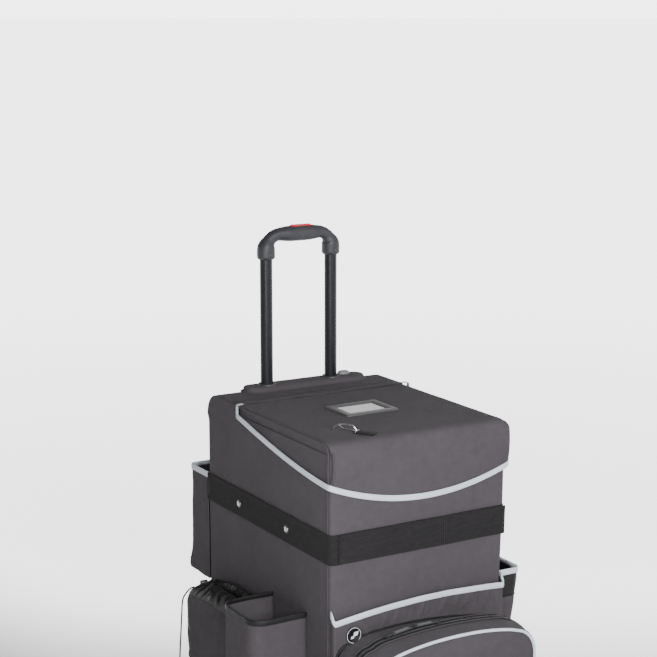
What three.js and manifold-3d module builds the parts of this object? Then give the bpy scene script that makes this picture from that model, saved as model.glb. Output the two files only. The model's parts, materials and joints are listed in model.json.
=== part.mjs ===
// Wheeled fabric service cart: a box-shaped bag on a moulded base, with a hinged lid, a telescoping
// pull handle, outside pockets, two fixed rear wheels and two swivel casters.
// Millimetres, +Z up. The front of the cart faces -Y. The floor is Z = 0.

import * as THREE from 'three';
import { mergeVertices } from 'three/addons/utils/BufferGeometryUtils.js';
import Module from 'manifold-3d';

const wasm = await Module();
wasm.setup();

// ---------------------------------------------------------------- driving dimensions

const GAP = 0.3;                     // clearance between touching pieces
const BODY_W = 420;                  // over the upper edge of the bag, side to side
const BODY_D = 544;                  // front of the lid to the back of the bag
const TOP = 740;                     // top of the lid above the floor
const FRONT = -BODY_D / 2;
const REAR = BODY_D / 2;

const LID = {
  left: -BODY_W / 2,
  right: 226,                        // the lid stands out over the right wall of the bag
  rear: 125,                         // hinge line
  wall: 3,
  frontRadius: 20,
  skirtLeft: 647,                    // lower edge of the skirt at the front left corner
  skirtRight: 637.5,
  skirtRear: 711,
  dip: 599,                          // lowest point of the front skirt
  dipX: 20,
};
const TAPE = { height: 12, thick: 1.2 };

const BAG = {
  wall: 4,
  halfW: BODY_W / 2 - LID.wall - GAP,
  front: FRONT + LID.wall + GAP,
  bottom: 146.3,
  mouth: TOP - 24,                   // top edge of the front and side walls, under the lid
  rearRadius: 50,
};
const TRAY = { wall: 5, bottom: 128, webBottom: 140, top: BAG.bottom - GAP };

const POLE = { x: 82.9, y: 220, outerR: 14, innerR: 11.6, bottom: 500, top: TOP + 324 };
const GUIDE = { outerR: 16.5, innerR: 14.7, bottom: 162.3, top: TOP + 11 };
const GRIP = { socketBottom: TOP + 296, socketR: 19.5, barZ: TOP + 348, barR: 14.5, channelR: 8 };
const BUTTON = { x: 4.5, length: 55, width: 12.4, bottom: TOP + 351, top: TOP + 367 };
const LINK_R = 2.5;                  // release linkage wire
const PLUNGER = { r: 4, z: 530, inner: 1, outer: 13.8 };

const BAND = { bottom: TOP - 249, top: TOP - 186, thick: 2 };

const DOC = { front: -283, wall: 2.5, bottom: 180, rim: TOP - 358, rise: 12, tilt: 4.5 };
const ZIP = { front: -412, wall: 4, bottom: 165, shoulderZ: 288, shoulderX: 165, archZ: 358, arch: 13 };
const CHAIN = { y: -354, width: 6.4, thick: 2, halfSpan: 163 };

const BOTTLE = { depth: 56, front: -262, rear: -170, bottom: 200, rim: 405, taper: 22, wall: 3 };
const BACK = {
  rim: TOP - 188, rimY: 366, bulgeY: 383, bulgeZ: TOP - 428, foldZ: TOP - 438, endZ: TOP - 435,
};
const POUCH = { outer: -290, front: -25, rear: 262, bottom: 125, top: 312, wall: 3.5, corner: 45 };
const COLLAR = { top: 336, inset: 6, width: 20 };
const SIDE = { outer: -330, front: -172, rear: -28, bottom: 150, rim: 364, wall: 3.5, corner: 30 };

const CORD_R = 1.75;
const KNOT_R = 5;
const BADGE = { r: 17, thick: 1.2 };

const REAR_WHEEL = { r: 62.5, width: 30, x: 175, y: 215, sides: 36 };
const AXLE_R = 5;
const CASTER = { r: 50, width: 26, x: 150, y: -205, trail: 30, sides: 30, pinR: 4 };

// ---------------------------------------------------------------- shape helpers

const solidOf = (geometry) => {
  const bare = geometry.clone();
  bare.deleteAttribute('normal');
  bare.deleteAttribute('uv');
  const merged = mergeVertices(bare, 1e-4);
  const corners = [];
  for (let i = 0; i < merged.index.count; i += 3) {
    const [a, b, c] = [0, 1, 2].map((k) => merged.index.getX(i + k));
    if (a !== b && b !== c && c !== a) corners.push(a, b, c);
  }
  return new wasm.Manifold(new wasm.Mesh({
    numProp: 3,
    vertProperties: new Float32Array(merged.attributes.position.array),
    triVerts: new Uint32Array(corners),
  }));
};

const geometryOf = (solid) => {
  const mesh = solid.getMesh();
  const geometry = new THREE.BufferGeometry();
  geometry.setAttribute('position', new THREE.BufferAttribute(new Float32Array(mesh.vertProperties), 3));
  geometry.setIndex(new THREE.BufferAttribute(new Uint32Array(mesh.triVerts), 1));
  return geometry;
};

const join = (...pieces) => geometryOf(pieces.map(solidOf).reduce((a, b) => a.add(b)));
const cut = (base, ...tools) =>
  geometryOf(tools.map(solidOf).reduce((a, b) => a.subtract(b), solidOf(base)));

const X = new THREE.Vector3(1, 0, 0);
const Y = new THREE.Vector3(0, 1, 0);
const Z = new THREE.Vector3(0, 0, 1);

// Outlines drawn in plan (x, y), from the front (x, z) or from the side (y, z), then given a thickness.
const extrude = (shape, depth, curveSegments) =>
  new THREE.ExtrudeGeometry(shape, { depth, bevelEnabled: false, curveSegments });
const planSolid = (shape, z0, z1, curve = 6) => extrude(shape, z1 - z0, curve).translate(0, 0, z0);
const frontSolid = (shape, y0, y1, curve = 6) => extrude(shape, y1 - y0, curve)
  .applyMatrix4(new THREE.Matrix4().makeBasis(X, Z, Y.clone().negate())).translate(0, y1, 0);
const sideSolid = (shape, x0, x1, curve = 6) => extrude(shape, x1 - x0, curve)
  .applyMatrix4(new THREE.Matrix4().makeBasis(Y, Z, X)).translate(x0, 0, 0);

const polygon = (points) => new THREE.Shape(points.map(([u, v]) => new THREE.Vector2(u, v)));

const block = (x0, x1, y0, y1, z0, z1) => new THREE.BoxGeometry(x1 - x0, y1 - y0, z1 - z0)
  .translate((x0 + x1) / 2, (y0 + y1) / 2, (z0 + z1) / 2);

// Round bar along an axis through (x, y, z), from one end to the other.
const barZ = (r, x, y, z0, z1, sides = 20) => new THREE.CylinderGeometry(r, r, z1 - z0, sides)
  .rotateX(Math.PI / 2).translate(x, y, (z0 + z1) / 2);
const barX = (r, x0, x1, y, z, sides = 20) => new THREE.CylinderGeometry(r, r, x1 - x0, sides)
  .rotateZ(Math.PI / 2).translate((x0 + x1) / 2, y, z);
const barY = (r, x, y0, y1, z, sides = 20) => new THREE.CylinderGeometry(r, r, y1 - y0, sides)
  .translate(x, (y0 + y1) / 2, z);

// Tube with open ends around a vertical axis.
const pipe = (outerR, innerR, x, y, z0, z1, sides = 24) => {
  const profile = [[innerR, z0], [outerR, z0], [outerR, z1], [innerR, z1], [innerR, z0]];
  return new THREE.LatheGeometry(profile.map(([r, z]) => new THREE.Vector2(r, z)), sides)
    .rotateX(Math.PI / 2).translate(x, y, 0);
};

// Ring turned about the X axis with a flat of its rim facing straight down.
const turned = (profile, sides, x, y, z) => {
  const points = [...profile, profile[0]].map(([r, along]) => new THREE.Vector2(r, along));
  return new THREE.LatheGeometry(points, sides)
    .rotateY(Math.PI / sides).rotateZ(-Math.PI / 2).translate(x, y, z);
};
const flatRadius = (r, sides) => r * Math.cos(Math.PI / sides);

const sweep = (r, curve, steps, sides) => {
  const section = new THREE.Shape();
  section.absarc(0, 0, r, 0, 2 * Math.PI, false);
  return new THREE.ExtrudeGeometry(section, {
    steps, curveSegments: sides, extrudePath: curve, bevelEnabled: false,
  });
};

// Plan outline of a pocket on a side wall: straight against the wall, round at the outer corners.
const sidePlan = (wallX, outerX, y0, y1, corner) => {
  const s = Math.sign(outerX - wallX);
  const shape = new THREE.Shape();
  shape.moveTo(wallX, y0);
  shape.lineTo(outerX - s * corner, y0);
  shape.absarc(outerX - s * corner, y0 + corner, corner, -Math.PI / 2, s > 0 ? 0 : -Math.PI, s < 0);
  shape.lineTo(outerX, y1 - corner);
  shape.absarc(outerX - s * corner, y1 - corner, corner, s > 0 ? 0 : Math.PI, Math.PI / 2, s < 0);
  shape.lineTo(wallX, y1);
  return shape;
};

// Edging tape on three sides of a pocket mouth, drawn in plan around the box x0..x1, y0..y1.
// The side named by open faces the wall that the pocket hangs on.
const edging = (x0, x1, y0, y1, open, z0, z1) => {
  const [g, t] = [GAP, GAP + TAPE.thick];
  const [l, r] = [open === '-x' ? 0 : t, open === '+x' ? 0 : t];
  const [f, b] = [open === '-y' ? 0 : t, open === '+y' ? 0 : t];
  const outer = block(x0 - l, x1 + r, y0 - f, y1 + b, z0, z1);
  const past = ['-x', '+x', '-y', '+y'].map((side) => g + (side === open ? 50 : 0));
  const inner = block(x0 - past[0], x1 + past[1], y0 - past[2], y1 + past[3], z0 - 1, z1 + 1);
  return cut(outer, inner);
};

// ---------------------------------------------------------------- materials

const paint = (color, roughness, metalness = 0) =>
  new THREE.MeshStandardMaterial({ color, roughness, metalness });
const fabric = () => paint(0x625c61, 0.9);
const webbing = () => paint(0x2f2f31, 0.95);
const tape = () => paint(0xcfd6dc, 0.7);
const blackPlastic = () => paint(0x2b2d30, 0.5);
const greyPlastic = () => paint(0x6b6a6e, 0.45);
const blackTube = () => paint(0x17181a, 0.3, 0.6);
const steel = () => paint(0xb9bcc0, 0.3, 1);
const nylon = () => paint(0x141416, 0.5);
const tyreRubber = () => paint(0x3a3b3d, 0.85);
const redPlastic = () => paint(0xc4202a, 0.4);
const board = () => paint(0x3d3a3c, 0.8);
const card = () => paint(0xeceae4, 0.8);

const cart = new THREE.Group();
const add = (name, geometry, material) => {
  const mesh = new THREE.Mesh(geometry, material);
  mesh.name = name;
  cart.add(mesh);
};
const bothSides = [['left', -1], ['right', 1]];

// ---------------------------------------------------------------- base and bag

const traySolid = () => {
  const [x, y, w] = [BAG.halfW, REAR, TRAY.wall];
  return cut(
    block(-x, x, -y, y, TRAY.bottom, TRAY.top),
    block(-x + w, x - w, -y + w, y - w, TRAY.bottom - 1, TRAY.webBottom),
  );
};

const bagProfile = (inset) => {
  const r = BAG.rearRadius - inset;
  const shape = new THREE.Shape();
  shape.moveTo(BAG.front + inset, BAG.bottom + inset);
  if (inset) {
    shape.lineTo(BAG.front + inset, TOP + 20);
    shape.lineTo(LID.rear + 0.5, TOP + 20);
    shape.lineTo(LID.rear + 0.5, BAG.mouth - inset);
    shape.lineTo(LID.rear + 0.5 + inset, BAG.mouth - inset);
    shape.lineTo(LID.rear + 0.5 + inset, TOP - inset);
  } else {
    shape.lineTo(BAG.front, BAG.mouth);
    shape.lineTo(LID.rear + 0.5, BAG.mouth);
    shape.lineTo(LID.rear + 0.5, TOP);
  }
  shape.lineTo(REAR - BAG.rearRadius, TOP - inset);
  shape.absarc(REAR - BAG.rearRadius, TOP - BAG.rearRadius, r, Math.PI / 2, 0, true);
  shape.lineTo(REAR - inset, BAG.bottom + inset);
  return shape;
};

const bagSolid = () => {
  const inside = sideSolid(bagProfile(BAG.wall), -BAG.halfW + BAG.wall, BAG.halfW - BAG.wall);
  const guideHoles = bothSides.map(([, s]) =>
    barZ(GUIDE.outerR + 0.7, s * POLE.x, POLE.y, TOP - 60, TOP + 20, 24));
  return cut(sideSolid(bagProfile(0), -BAG.halfW, BAG.halfW), inside, ...guideHoles);
};

const rimFrameSolid = () => {
  const [x, y0, y1] = [BAG.halfW - BAG.wall - GAP, BAG.front + BAG.wall + GAP, LID.rear - 4];
  const wire = 6;
  return cut(
    block(-x, x, y0, y1, BAG.mouth - 10, BAG.mouth - 4),
    block(-x + wire, x - wire, y0 + wire, y1 - wire, BAG.mouth - 20, BAG.mouth + 1),
  );
};

const innerX = BAG.halfW - BAG.wall - 2;
const innerFloor = BAG.bottom + BAG.wall + GAP;
const STIFFENER = { y: 188, thick: 4 };

add('base_tray', traySolid(), blackPlastic());
add('bag_shell', bagSolid(), fabric());
add('floor_board',
  block(-innerX, innerX, BAG.front + 6, STIFFENER.y - GAP, innerFloor, innerFloor + 5), board());
add('rim_frame', rimFrameSolid(), steel());
add('rear_stiffener',
  block(-innerX, innerX, STIFFENER.y, STIFFENER.y + STIFFENER.thick, innerFloor, TOP - 10), board());
add('tube_bracket', block(-110, 110, POLE.y - 24, POLE.y + 24, innerFloor, GUIDE.bottom - GAP), steel());

// ---------------------------------------------------------------- handle

for (const [side, s] of bothSides) {
  add(`outer_tube_${side}`,
    pipe(GUIDE.outerR, GUIDE.innerR, s * POLE.x, POLE.y, GUIDE.bottom, GUIDE.top), steel());
  const ends = [s * POLE.x, s * (POLE.x + POLE.outerR + 3)].sort((a, b) => a - b);
  add(`inner_tube_${side}`, cut(
    pipe(POLE.outerR, POLE.innerR, s * POLE.x, POLE.y, POLE.bottom, POLE.top),
    barX(PLUNGER.r + 0.6, ...ends, POLE.y, PLUNGER.z, 16),
  ), blackTube());
  const nose = [s * (POLE.x + PLUNGER.inner), s * (POLE.x + PLUNGER.outer)].sort((a, b) => a - b);
  add(`lock_plunger_${side}`, barX(PLUNGER.r, ...nose, POLE.y, PLUNGER.z, 16), steel());
}

const HOUSING = { left: -112, right: 142, r: 28, height: 12 };   // round ends, this far apart

const housingSolid = () => {
  const shape = new THREE.Shape();
  shape.absarc(HOUSING.left, POLE.y, HOUSING.r, Math.PI / 2, 3 * Math.PI / 2, false);
  shape.absarc(HOUSING.right, POLE.y, HOUSING.r, -Math.PI / 2, Math.PI / 2, false);
  const holes = bothSides.map(([, s]) =>
    barZ(GUIDE.outerR + GAP + 0.2, s * POLE.x, POLE.y, TOP, TOP + 20, 24));
  return cut(planSolid(shape, TOP + GAP, TOP + HOUSING.height, 10), ...holes);
};
add('handle_housing', housingSolid(), blackPlastic());

// Arched centre line of the grip, from pole to pole.
const gripCurve = (startZ) => {
  const elbow = 33;
  const point = (x, z) => new THREE.Vector3(x, POLE.y, z);
  const path = new THREE.CurvePath();
  path.add(new THREE.LineCurve3(point(-POLE.x, startZ), point(-POLE.x, GRIP.barZ - elbow)));
  path.add(new THREE.QuadraticBezierCurve3(point(-POLE.x, GRIP.barZ - elbow), point(-POLE.x, GRIP.barZ - 2),
    point(-POLE.x + elbow, GRIP.barZ)));
  path.add(new THREE.LineCurve3(point(-POLE.x + elbow, GRIP.barZ), point(POLE.x - elbow, GRIP.barZ)));
  path.add(new THREE.QuadraticBezierCurve3(point(POLE.x - elbow, GRIP.barZ), point(POLE.x, GRIP.barZ - 2),
    point(POLE.x, GRIP.barZ - elbow)));
  path.add(new THREE.LineCurve3(point(POLE.x, GRIP.barZ - elbow), point(POLE.x, startZ)));
  return path;
};

const gripSolid = () => {
  const sockets = bothSides.flatMap(([, s]) => [
    barZ(GRIP.socketR, s * POLE.x, POLE.y, GRIP.socketBottom, GRIP.socketBottom + 32, 16),
    new THREE.SphereGeometry(GRIP.socketR, 16, 8).translate(s * POLE.x, POLE.y, GRIP.socketBottom + 32),
  ]);
  const palm = new THREE.SphereGeometry(1, 16, 10).scale(54, 17, 18).translate(0, POLE.y, GRIP.barZ - 1);
  const bores = bothSides.map(([, s]) =>
    barZ(POLE.outerR + GAP, s * POLE.x, POLE.y, GRIP.socketBottom - 5, POLE.top + GAP, 20));
  const screwHoles = bothSides.map(([, s]) =>
    barY(2.6, s * POLE.x, POLE.y - 40, POLE.y - POLE.outerR, GRIP.socketBottom + 11, 12));
  const slot = block(BUTTON.x - BUTTON.length / 2 - 1.5, BUTTON.x + BUTTON.length / 2 + 1.5,
    POLE.y - 8, POLE.y + 8, GRIP.barZ - 1, GRIP.barZ + 40);
  return cut(
    join(sweep(GRIP.barR, gripCurve(GRIP.socketBottom + 20), 22, 7), ...sockets, palm),
    ...bores, ...screwHoles, sweep(GRIP.channelR, gripCurve(POLE.top - 4), 22, 5), slot,
  );
};
add('grip', gripSolid(), blackPlastic());

const buttonShape = new THREE.Shape();
const buttonEnd = BUTTON.length / 2;
buttonShape.moveTo(BUTTON.x - buttonEnd, BUTTON.bottom);
buttonShape.lineTo(BUTTON.x + buttonEnd, BUTTON.bottom);
buttonShape.lineTo(BUTTON.x + buttonEnd, BUTTON.top - 4);
buttonShape.quadraticCurveTo(BUTTON.x, BUTTON.top + 4, BUTTON.x - buttonEnd, BUTTON.top - 4);
add('release_button',
  frontSolid(buttonShape, POLE.y - BUTTON.width / 2, POLE.y + BUTTON.width / 2, 8), redPlastic());
add('release_linkage', join(
  sweep(LINK_R, gripCurve(POLE.top - 20), 24, 4),
  ...bothSides.map(([, s]) => barZ(LINK_R, s * POLE.x, POLE.y, PLUNGER.z + 15, POLE.top - 19, 8)),
), steel());

// ---------------------------------------------------------------- lid

const skirtSide = (front, y) =>
  front + (LID.skirtRear - front) * ((y - FRONT) / (LID.rear - FRONT)) ** 1.5;
const skirtFront = (x) =>
  LID.dip + (LID.skirtLeft - LID.dip) * ((x - LID.dipX) / (LID.left - LID.dipX)) ** 2;
const spaced = (from, to, count) =>
  Array.from({ length: count + 1 }, (_, i) => from + (to - from) * i / count);

const lidSideShape = (front) => {
  const shape = new THREE.Shape();
  shape.moveTo(LID.rear, TOP);
  shape.lineTo(FRONT + LID.frontRadius, TOP);
  shape.absarc(FRONT + LID.frontRadius, TOP - LID.frontRadius, LID.frontRadius, Math.PI / 2, Math.PI, false);
  for (const y of spaced(FRONT, LID.rear, 10)) shape.lineTo(y, skirtSide(front, y));
  return shape;
};

const lidSolid = () => {
  const [r, w] = [LID.frontRadius, LID.wall];
  const cover = new THREE.Shape();
  cover.moveTo(LID.rear, TOP);
  cover.lineTo(FRONT + r, TOP);
  cover.absarc(FRONT + r, TOP - r, r, Math.PI / 2, Math.PI, false);
  cover.lineTo(FRONT, LID.dip - 20);
  cover.lineTo(FRONT + w, LID.dip - 20);
  cover.lineTo(FRONT + w, TOP - r);
  cover.absarc(FRONT + r, TOP - r, r - w, Math.PI, Math.PI / 2, true);
  cover.lineTo(LID.rear, TOP - w);
  const below = polygon([
    [-BODY_W, LID.dip - 60], [BODY_W, LID.dip - 60],
    ...spaced(LID.right + 1, LID.left - 1, 16).map((x) => [x, skirtFront(x)]),
  ]);
  return cut(
    join(
      sideSolid(cover, LID.left, LID.right),
      sideSolid(lidSideShape(LID.skirtLeft), LID.left, LID.left + w),
      sideSolid(lidSideShape(LID.skirtRight), LID.right - w, LID.right),
    ),
    frontSolid(below, FRONT - 1, FRONT + w + 0.01),
  );
};

const lidTapeSolid = () => {
  const [h, t] = [TAPE.height, TAPE.thick];
  const [left, right] = [LID.left - GAP, LID.right + GAP];
  const sideBand = (front) => polygon([
    ...spaced(FRONT - GAP - t, LID.rear, 12).map((y) => [y, skirtSide(front, Math.max(y, FRONT))]),
    [LID.rear, TOP], [LID.rear - h, TOP],
    ...spaced(LID.rear - h, FRONT - GAP - t, 12).map((y) => [y, skirtSide(front, Math.max(y, FRONT)) + h]),
  ]);
  const frontBand = polygon([
    ...spaced(left - t, right + t, 20).map((x) => [x, skirtFront(x)]),
    ...spaced(right + t, left - t, 20).map((x) => [x, skirtFront(x) + h]),
  ]);
  return join(
    sideSolid(sideBand(LID.skirtLeft), left - t, left),
    sideSolid(sideBand(LID.skirtRight), right, right + t),
    frontSolid(frontBand, FRONT - GAP - t, FRONT - GAP),
  );
};

const LABEL = { x0: -62, x1: 66, y0: -95, y1: 4, border: 20, height: 3.2 };
const lidTop = TOP + GAP;

add('lid_shell', lidSolid(), fabric());
add('lid_board', block(-BAG.halfW + 4, BAG.halfW - 4, FRONT + 24, LID.rear - 4,
  TOP - LID.wall - 3.6, TOP - LID.wall - GAP), board());
add('lid_binding', lidTapeSolid(), tape());
add('label_frame', cut(
  block(LABEL.x0, LABEL.x1, LABEL.y0, LABEL.y1, lidTop, lidTop + LABEL.height),
  block(LABEL.x0 + LABEL.border, LABEL.x1 - LABEL.border, LABEL.y0 + LABEL.border, LABEL.y1 - LABEL.border,
    lidTop - 1, lidTop + 10),
), greyPlastic());
add('label_card', block(LABEL.x0 + LABEL.border + GAP, LABEL.x1 - LABEL.border - GAP,
  LABEL.y0 + LABEL.border + GAP, LABEL.y1 - LABEL.border - GAP, lidTop, lidTop + 0.8), card());
add('hinge_strip',
  block(-BAG.halfW, BAG.halfW, LID.rear + 1, LID.rear + 24, lidTop, lidTop + 1.4), fabric());

// Wire hook on a webbing tab; it lies along a slanted line near the front of the lid.
const HOOK = { x: -113, y: -214, turn: 2.19, wire: 1.5, height: 14, length: 52, pivot: 3 };
const hookPlace = (geometry) => geometry.rotateZ(HOOK.turn).translate(HOOK.x, HOOK.y, lidTop);
const hookPath = new THREE.CatmullRomCurve3([
  [0, HOOK.pivot], [3, 8], [9, HOOK.height], [22, HOOK.height], [36, HOOK.height], [45, 9],
  [HOOK.length, HOOK.pivot],
].map(([along, up]) => new THREE.Vector3(along, 0, up)));
add('hook_tab', hookPlace(block(-42, -2.5, -13, 13, 0, 4.6)), webbing());
add('lid_hook', hookPlace(join(
  sweep(HOOK.wire, hookPath, 16, 3),
  barY(HOOK.wire, 0, -10, 10, HOOK.pivot, 10),
)), steel());

// ---------------------------------------------------------------- webbing band and snaps

const bandSolid = () => {
  const [x, t] = [BAG.halfW + GAP, BAND.thick];
  return cut(
    block(-x - t, x + t, BAG.front - GAP - t, REAR, BAND.bottom, BAND.top),
    block(-x, x, BAG.front - GAP, REAR + 1, BAND.bottom - 1, BAND.top + 1),
  );
};
const bandFront = BAG.front - GAP - BAND.thick;
add('body_band', bandSolid(), webbing());
add('front_band', block(-190, BAG.halfW + 2, bandFront - GAP - BAND.thick, bandFront - GAP,
  BAND.bottom + 1, BAND.top - 1), webbing());
for (const [name, y] of [['snap_rear', 117], ['snap_front', -94]]) {
  const x = -BAG.halfW - BAND.thick - 2 * GAP;
  add(name, barX(7.5, x - 2.2, x, y, TOP - 220, 20), steel());
}

// ---------------------------------------------------------------- front pockets

const pocketX = BAG.halfW;
const docRim = (x) => (
  DOC.rim + DOC.tilt * x / pocketX + DOC.rise * Math.cos(x / 210 * Math.PI / 2)
);

const documentSolid = () => {
  const back = BAG.front - GAP;
  const outline = (inset, top) => polygon([
    [-pocketX + inset, DOC.bottom + inset], [pocketX - inset, DOC.bottom + inset],
    ...spaced(pocketX - inset, -pocketX + inset, 14).map((x) => [x, docRim(x) + top]),
  ]);
  return cut(
    frontSolid(outline(0, 0), DOC.front, back),
    frontSolid(outline(DOC.wall, 30), DOC.front + DOC.wall, back + 1),
  );
};
const documentTape = polygon([
  ...spaced(-pocketX, pocketX, 14).map((x) => [x, docRim(x) - 13]),
  ...spaced(pocketX, -pocketX, 14).map((x) => [x, docRim(x) + 1]),
]);
add('document_pocket', documentSolid(), fabric());
add('document_binding', frontSolid(documentTape, DOC.front - GAP - TAPE.thick, DOC.front - GAP), tape());
add('document_badge',
  barY(BADGE.r, -163, DOC.front - GAP - BADGE.thick, DOC.front - GAP, TOP - 396), nylon());

// Arched outline of the zip pocket, seen from the front.
const archRadius = (ZIP.shoulderX ** 2 + ZIP.arch ** 2) / (2 * ZIP.arch);
const archCentre = ZIP.archZ - archRadius;
const archZ = (x, offset) => archCentre + Math.sqrt((archRadius + offset) ** 2 - x ** 2);
const zipOutline = (inset) => {
  const side = pocketX - inset;
  const shape = new THREE.Shape();
  shape.moveTo(-side, ZIP.bottom + inset);
  shape.lineTo(side, ZIP.bottom + inset);
  shape.lineTo(side, ZIP.shoulderZ);
  shape.quadraticCurveTo(side, archZ(ZIP.shoulderX, -inset) - 4, ZIP.shoulderX, archZ(ZIP.shoulderX, -inset));
  for (const x of spaced(ZIP.shoulderX, -ZIP.shoulderX, 12)) shape.lineTo(x, archZ(x, -inset));
  shape.quadraticCurveTo(-side, archZ(ZIP.shoulderX, -inset) - 4, -side, ZIP.shoulderZ);
  return shape;
};
const zipBack = DOC.front - 2 * GAP - TAPE.thick;
const pipingRing = zipOutline(0.5);
pipingRing.holes.push(zipOutline(8));
const chainShape = polygon([
  ...spaced(-CHAIN.halfSpan, CHAIN.halfSpan, 16).map((x) => [x, archZ(x, GAP)]),
  ...spaced(CHAIN.halfSpan, -CHAIN.halfSpan, 16).map((x) => [x, archZ(x, GAP + CHAIN.thick)]),
]);
add('zip_pocket', cut(
  frontSolid(zipOutline(0), ZIP.front, zipBack),
  frontSolid(zipOutline(ZIP.wall), ZIP.front + ZIP.wall, zipBack + 1),
), fabric());
add('zip_piping', frontSolid(pipingRing, ZIP.front - GAP - 2.2, ZIP.front - GAP), tape());
add('zip_chain', frontSolid(chainShape, CHAIN.y - CHAIN.width / 2, CHAIN.y + CHAIN.width / 2), nylon());

// Two sliders on the chain, each with a long pull tab that lies towards the other one. They are drawn
// at the top of the arch and turned about its centre.
const SLIDER = { length: 11, width: 9, height: 4.5, left: -125, right: -5 };
const TAB = { length: 56, width: 13, thick: 1.6, pivotUp: 6.2, tail: 1.2 };
const alongArch = (geometry, x) => geometry.translate(0, 0, -archCentre)
  .rotateY(Math.asin(x / archRadius)).translate(0, 0, archCentre);
for (const [side, s, x] of [['left', 1, SLIDER.left], ['right', -1, SLIDER.right]]) {
  const base = archZ(0, 2 * GAP + CHAIN.thick);
  add(`zip_slider_${side}`, alongArch(block(-SLIDER.length / 2, SLIDER.length / 2,
    CHAIN.y - SLIDER.width / 2, CHAIN.y + SLIDER.width / 2, base, base + SLIDER.height), x), blackPlastic());
  const [from, to] = [-s * TAB.tail, s * TAB.length].sort((a, b) => a - b);
  add(`zip_tab_${side}`, alongArch(block(from, to, CHAIN.y - TAB.width / 2, CHAIN.y + TAB.width / 2,
    base + TAB.pivotUp - TAB.thick / 2, base + TAB.pivotUp + TAB.thick / 2), x), nylon());
}

// ---------------------------------------------------------------- side and rear pockets

const sideWall = BAG.halfW + GAP;

const bottleSolid = () => {
  const outer = sideWall + BOTTLE.depth;
  const profile = (inset, top) => polygon([
    [sideWall + inset, BOTTLE.bottom + inset], [outer - BOTTLE.taper - inset, BOTTLE.bottom + inset],
    [outer - inset, BOTTLE.rim + top], [sideWall + inset, BOTTLE.rim + top],
  ]);
  return cut(
    frontSolid(profile(0, 0), BOTTLE.front, BOTTLE.rear),
    frontSolid(profile(BOTTLE.wall, 20), BOTTLE.front + BOTTLE.wall, BOTTLE.rear - BOTTLE.wall),
  );
};
add('bottle_pocket', bottleSolid(), nylon());
add('bottle_binding', edging(sideWall, sideWall + BOTTLE.depth, BOTTLE.front, BOTTLE.rear, '-x',
  BOTTLE.rim - 11, BOTTLE.rim + 1), tape());

const backProfile = (inset, top) => polygon([
  [REAR + GAP + inset, BACK.endZ + inset + 6], [REAR + 16, BACK.endZ + 1.5 * inset],
  [BACK.bulgeY - 12 - inset, BACK.foldZ + inset], [BACK.bulgeY - inset, BACK.bulgeZ],
  [BACK.rimY + 2 - inset, BACK.bulgeZ + 40], [BACK.rimY - inset, BACK.rim + top],
  [REAR + GAP + inset, BACK.rim + top],
]);
add('rear_pocket', cut(
  sideSolid(backProfile(0, 0), -BAG.halfW, BAG.halfW),
  sideSolid(backProfile(4, 20), -BAG.halfW + 4, BAG.halfW - 4),
), fabric());
add('rear_binding', edging(-BAG.halfW, BAG.halfW, REAR + GAP, BACK.rimY + 0.4, '-y',
  BACK.rim - 11, BACK.rim + 1), tape());

const pouchPlan = (inset) => sidePlan(-sideWall - inset, POUCH.outer + inset,
  POUCH.front + inset, POUCH.rear - inset, POUCH.corner - inset);
add('pouch_shell', cut(
  planSolid(pouchPlan(0), POUCH.bottom, POUCH.top),
  planSolid(pouchPlan(POUCH.wall), POUCH.bottom + POUCH.wall, POUCH.top + 1),
), fabric());
add('pouch_collar', cut(
  planSolid(pouchPlan(COLLAR.inset), POUCH.top + GAP, COLLAR.top),
  planSolid(pouchPlan(COLLAR.inset + COLLAR.width), POUCH.top, COLLAR.top + 1),
), nylon());
add('pouch_badge', barX(BADGE.r, POUCH.outer - GAP - BADGE.thick, POUCH.outer - GAP, 195, 235), nylon());

const sidePocketPlan = (inset) => sidePlan(-sideWall - inset, SIDE.outer + inset,
  SIDE.front + inset, SIDE.rear - inset, SIDE.corner - inset);
add('side_pocket', cut(
  planSolid(sidePocketPlan(0), SIDE.bottom, SIDE.rim),
  planSolid(sidePocketPlan(SIDE.wall), SIDE.bottom + SIDE.wall, SIDE.rim + 1),
), fabric());

// ---------------------------------------------------------------- wheels

const rearAxleZ = flatRadius(REAR_WHEEL.r, REAR_WHEEL.sides);
const BRACKET = { x: 148, thick: 4, y0: 192, y1: 238 };

const axleFrameSolid = () => {
  const { x, thick, y0, y1 } = BRACKET;
  const ear = new THREE.Shape();
  ear.moveTo(y0, TRAY.webBottom - 4);
  ear.lineTo(REAR_WHEEL.y - 11, rearAxleZ);
  ear.absarc(REAR_WHEEL.y, rearAxleZ, 11, Math.PI, 2 * Math.PI, false);
  ear.lineTo(y1, TRAY.webBottom - 4);
  const ears = bothSides.map(([, s]) => sideSolid(ear, s * x - thick / 2, s * x + thick / 2));
  return cut(
    join(block(-x - thick, x + thick, y0, y1, TRAY.webBottom - 4.3, TRAY.webBottom - GAP), ...ears),
    barX(AXLE_R + 0.3, -x - 20, x + 20, REAR_WHEEL.y, rearAxleZ, 20),
  );
};
add('axle_frame', axleFrameSolid(), steel());
const axleEnd = REAR_WHEEL.x + REAR_WHEEL.width / 2 + 4;
add('rear_axle', join(
  barX(AXLE_R, -axleEnd, axleEnd, REAR_WHEEL.y, rearAxleZ, 20),
  ...bothSides.map(([, s]) => barX(9, s * axleEnd - 2.5, s * axleEnd + 2.5, REAR_WHEEL.y, rearAxleZ, 16)),
), steel());

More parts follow.
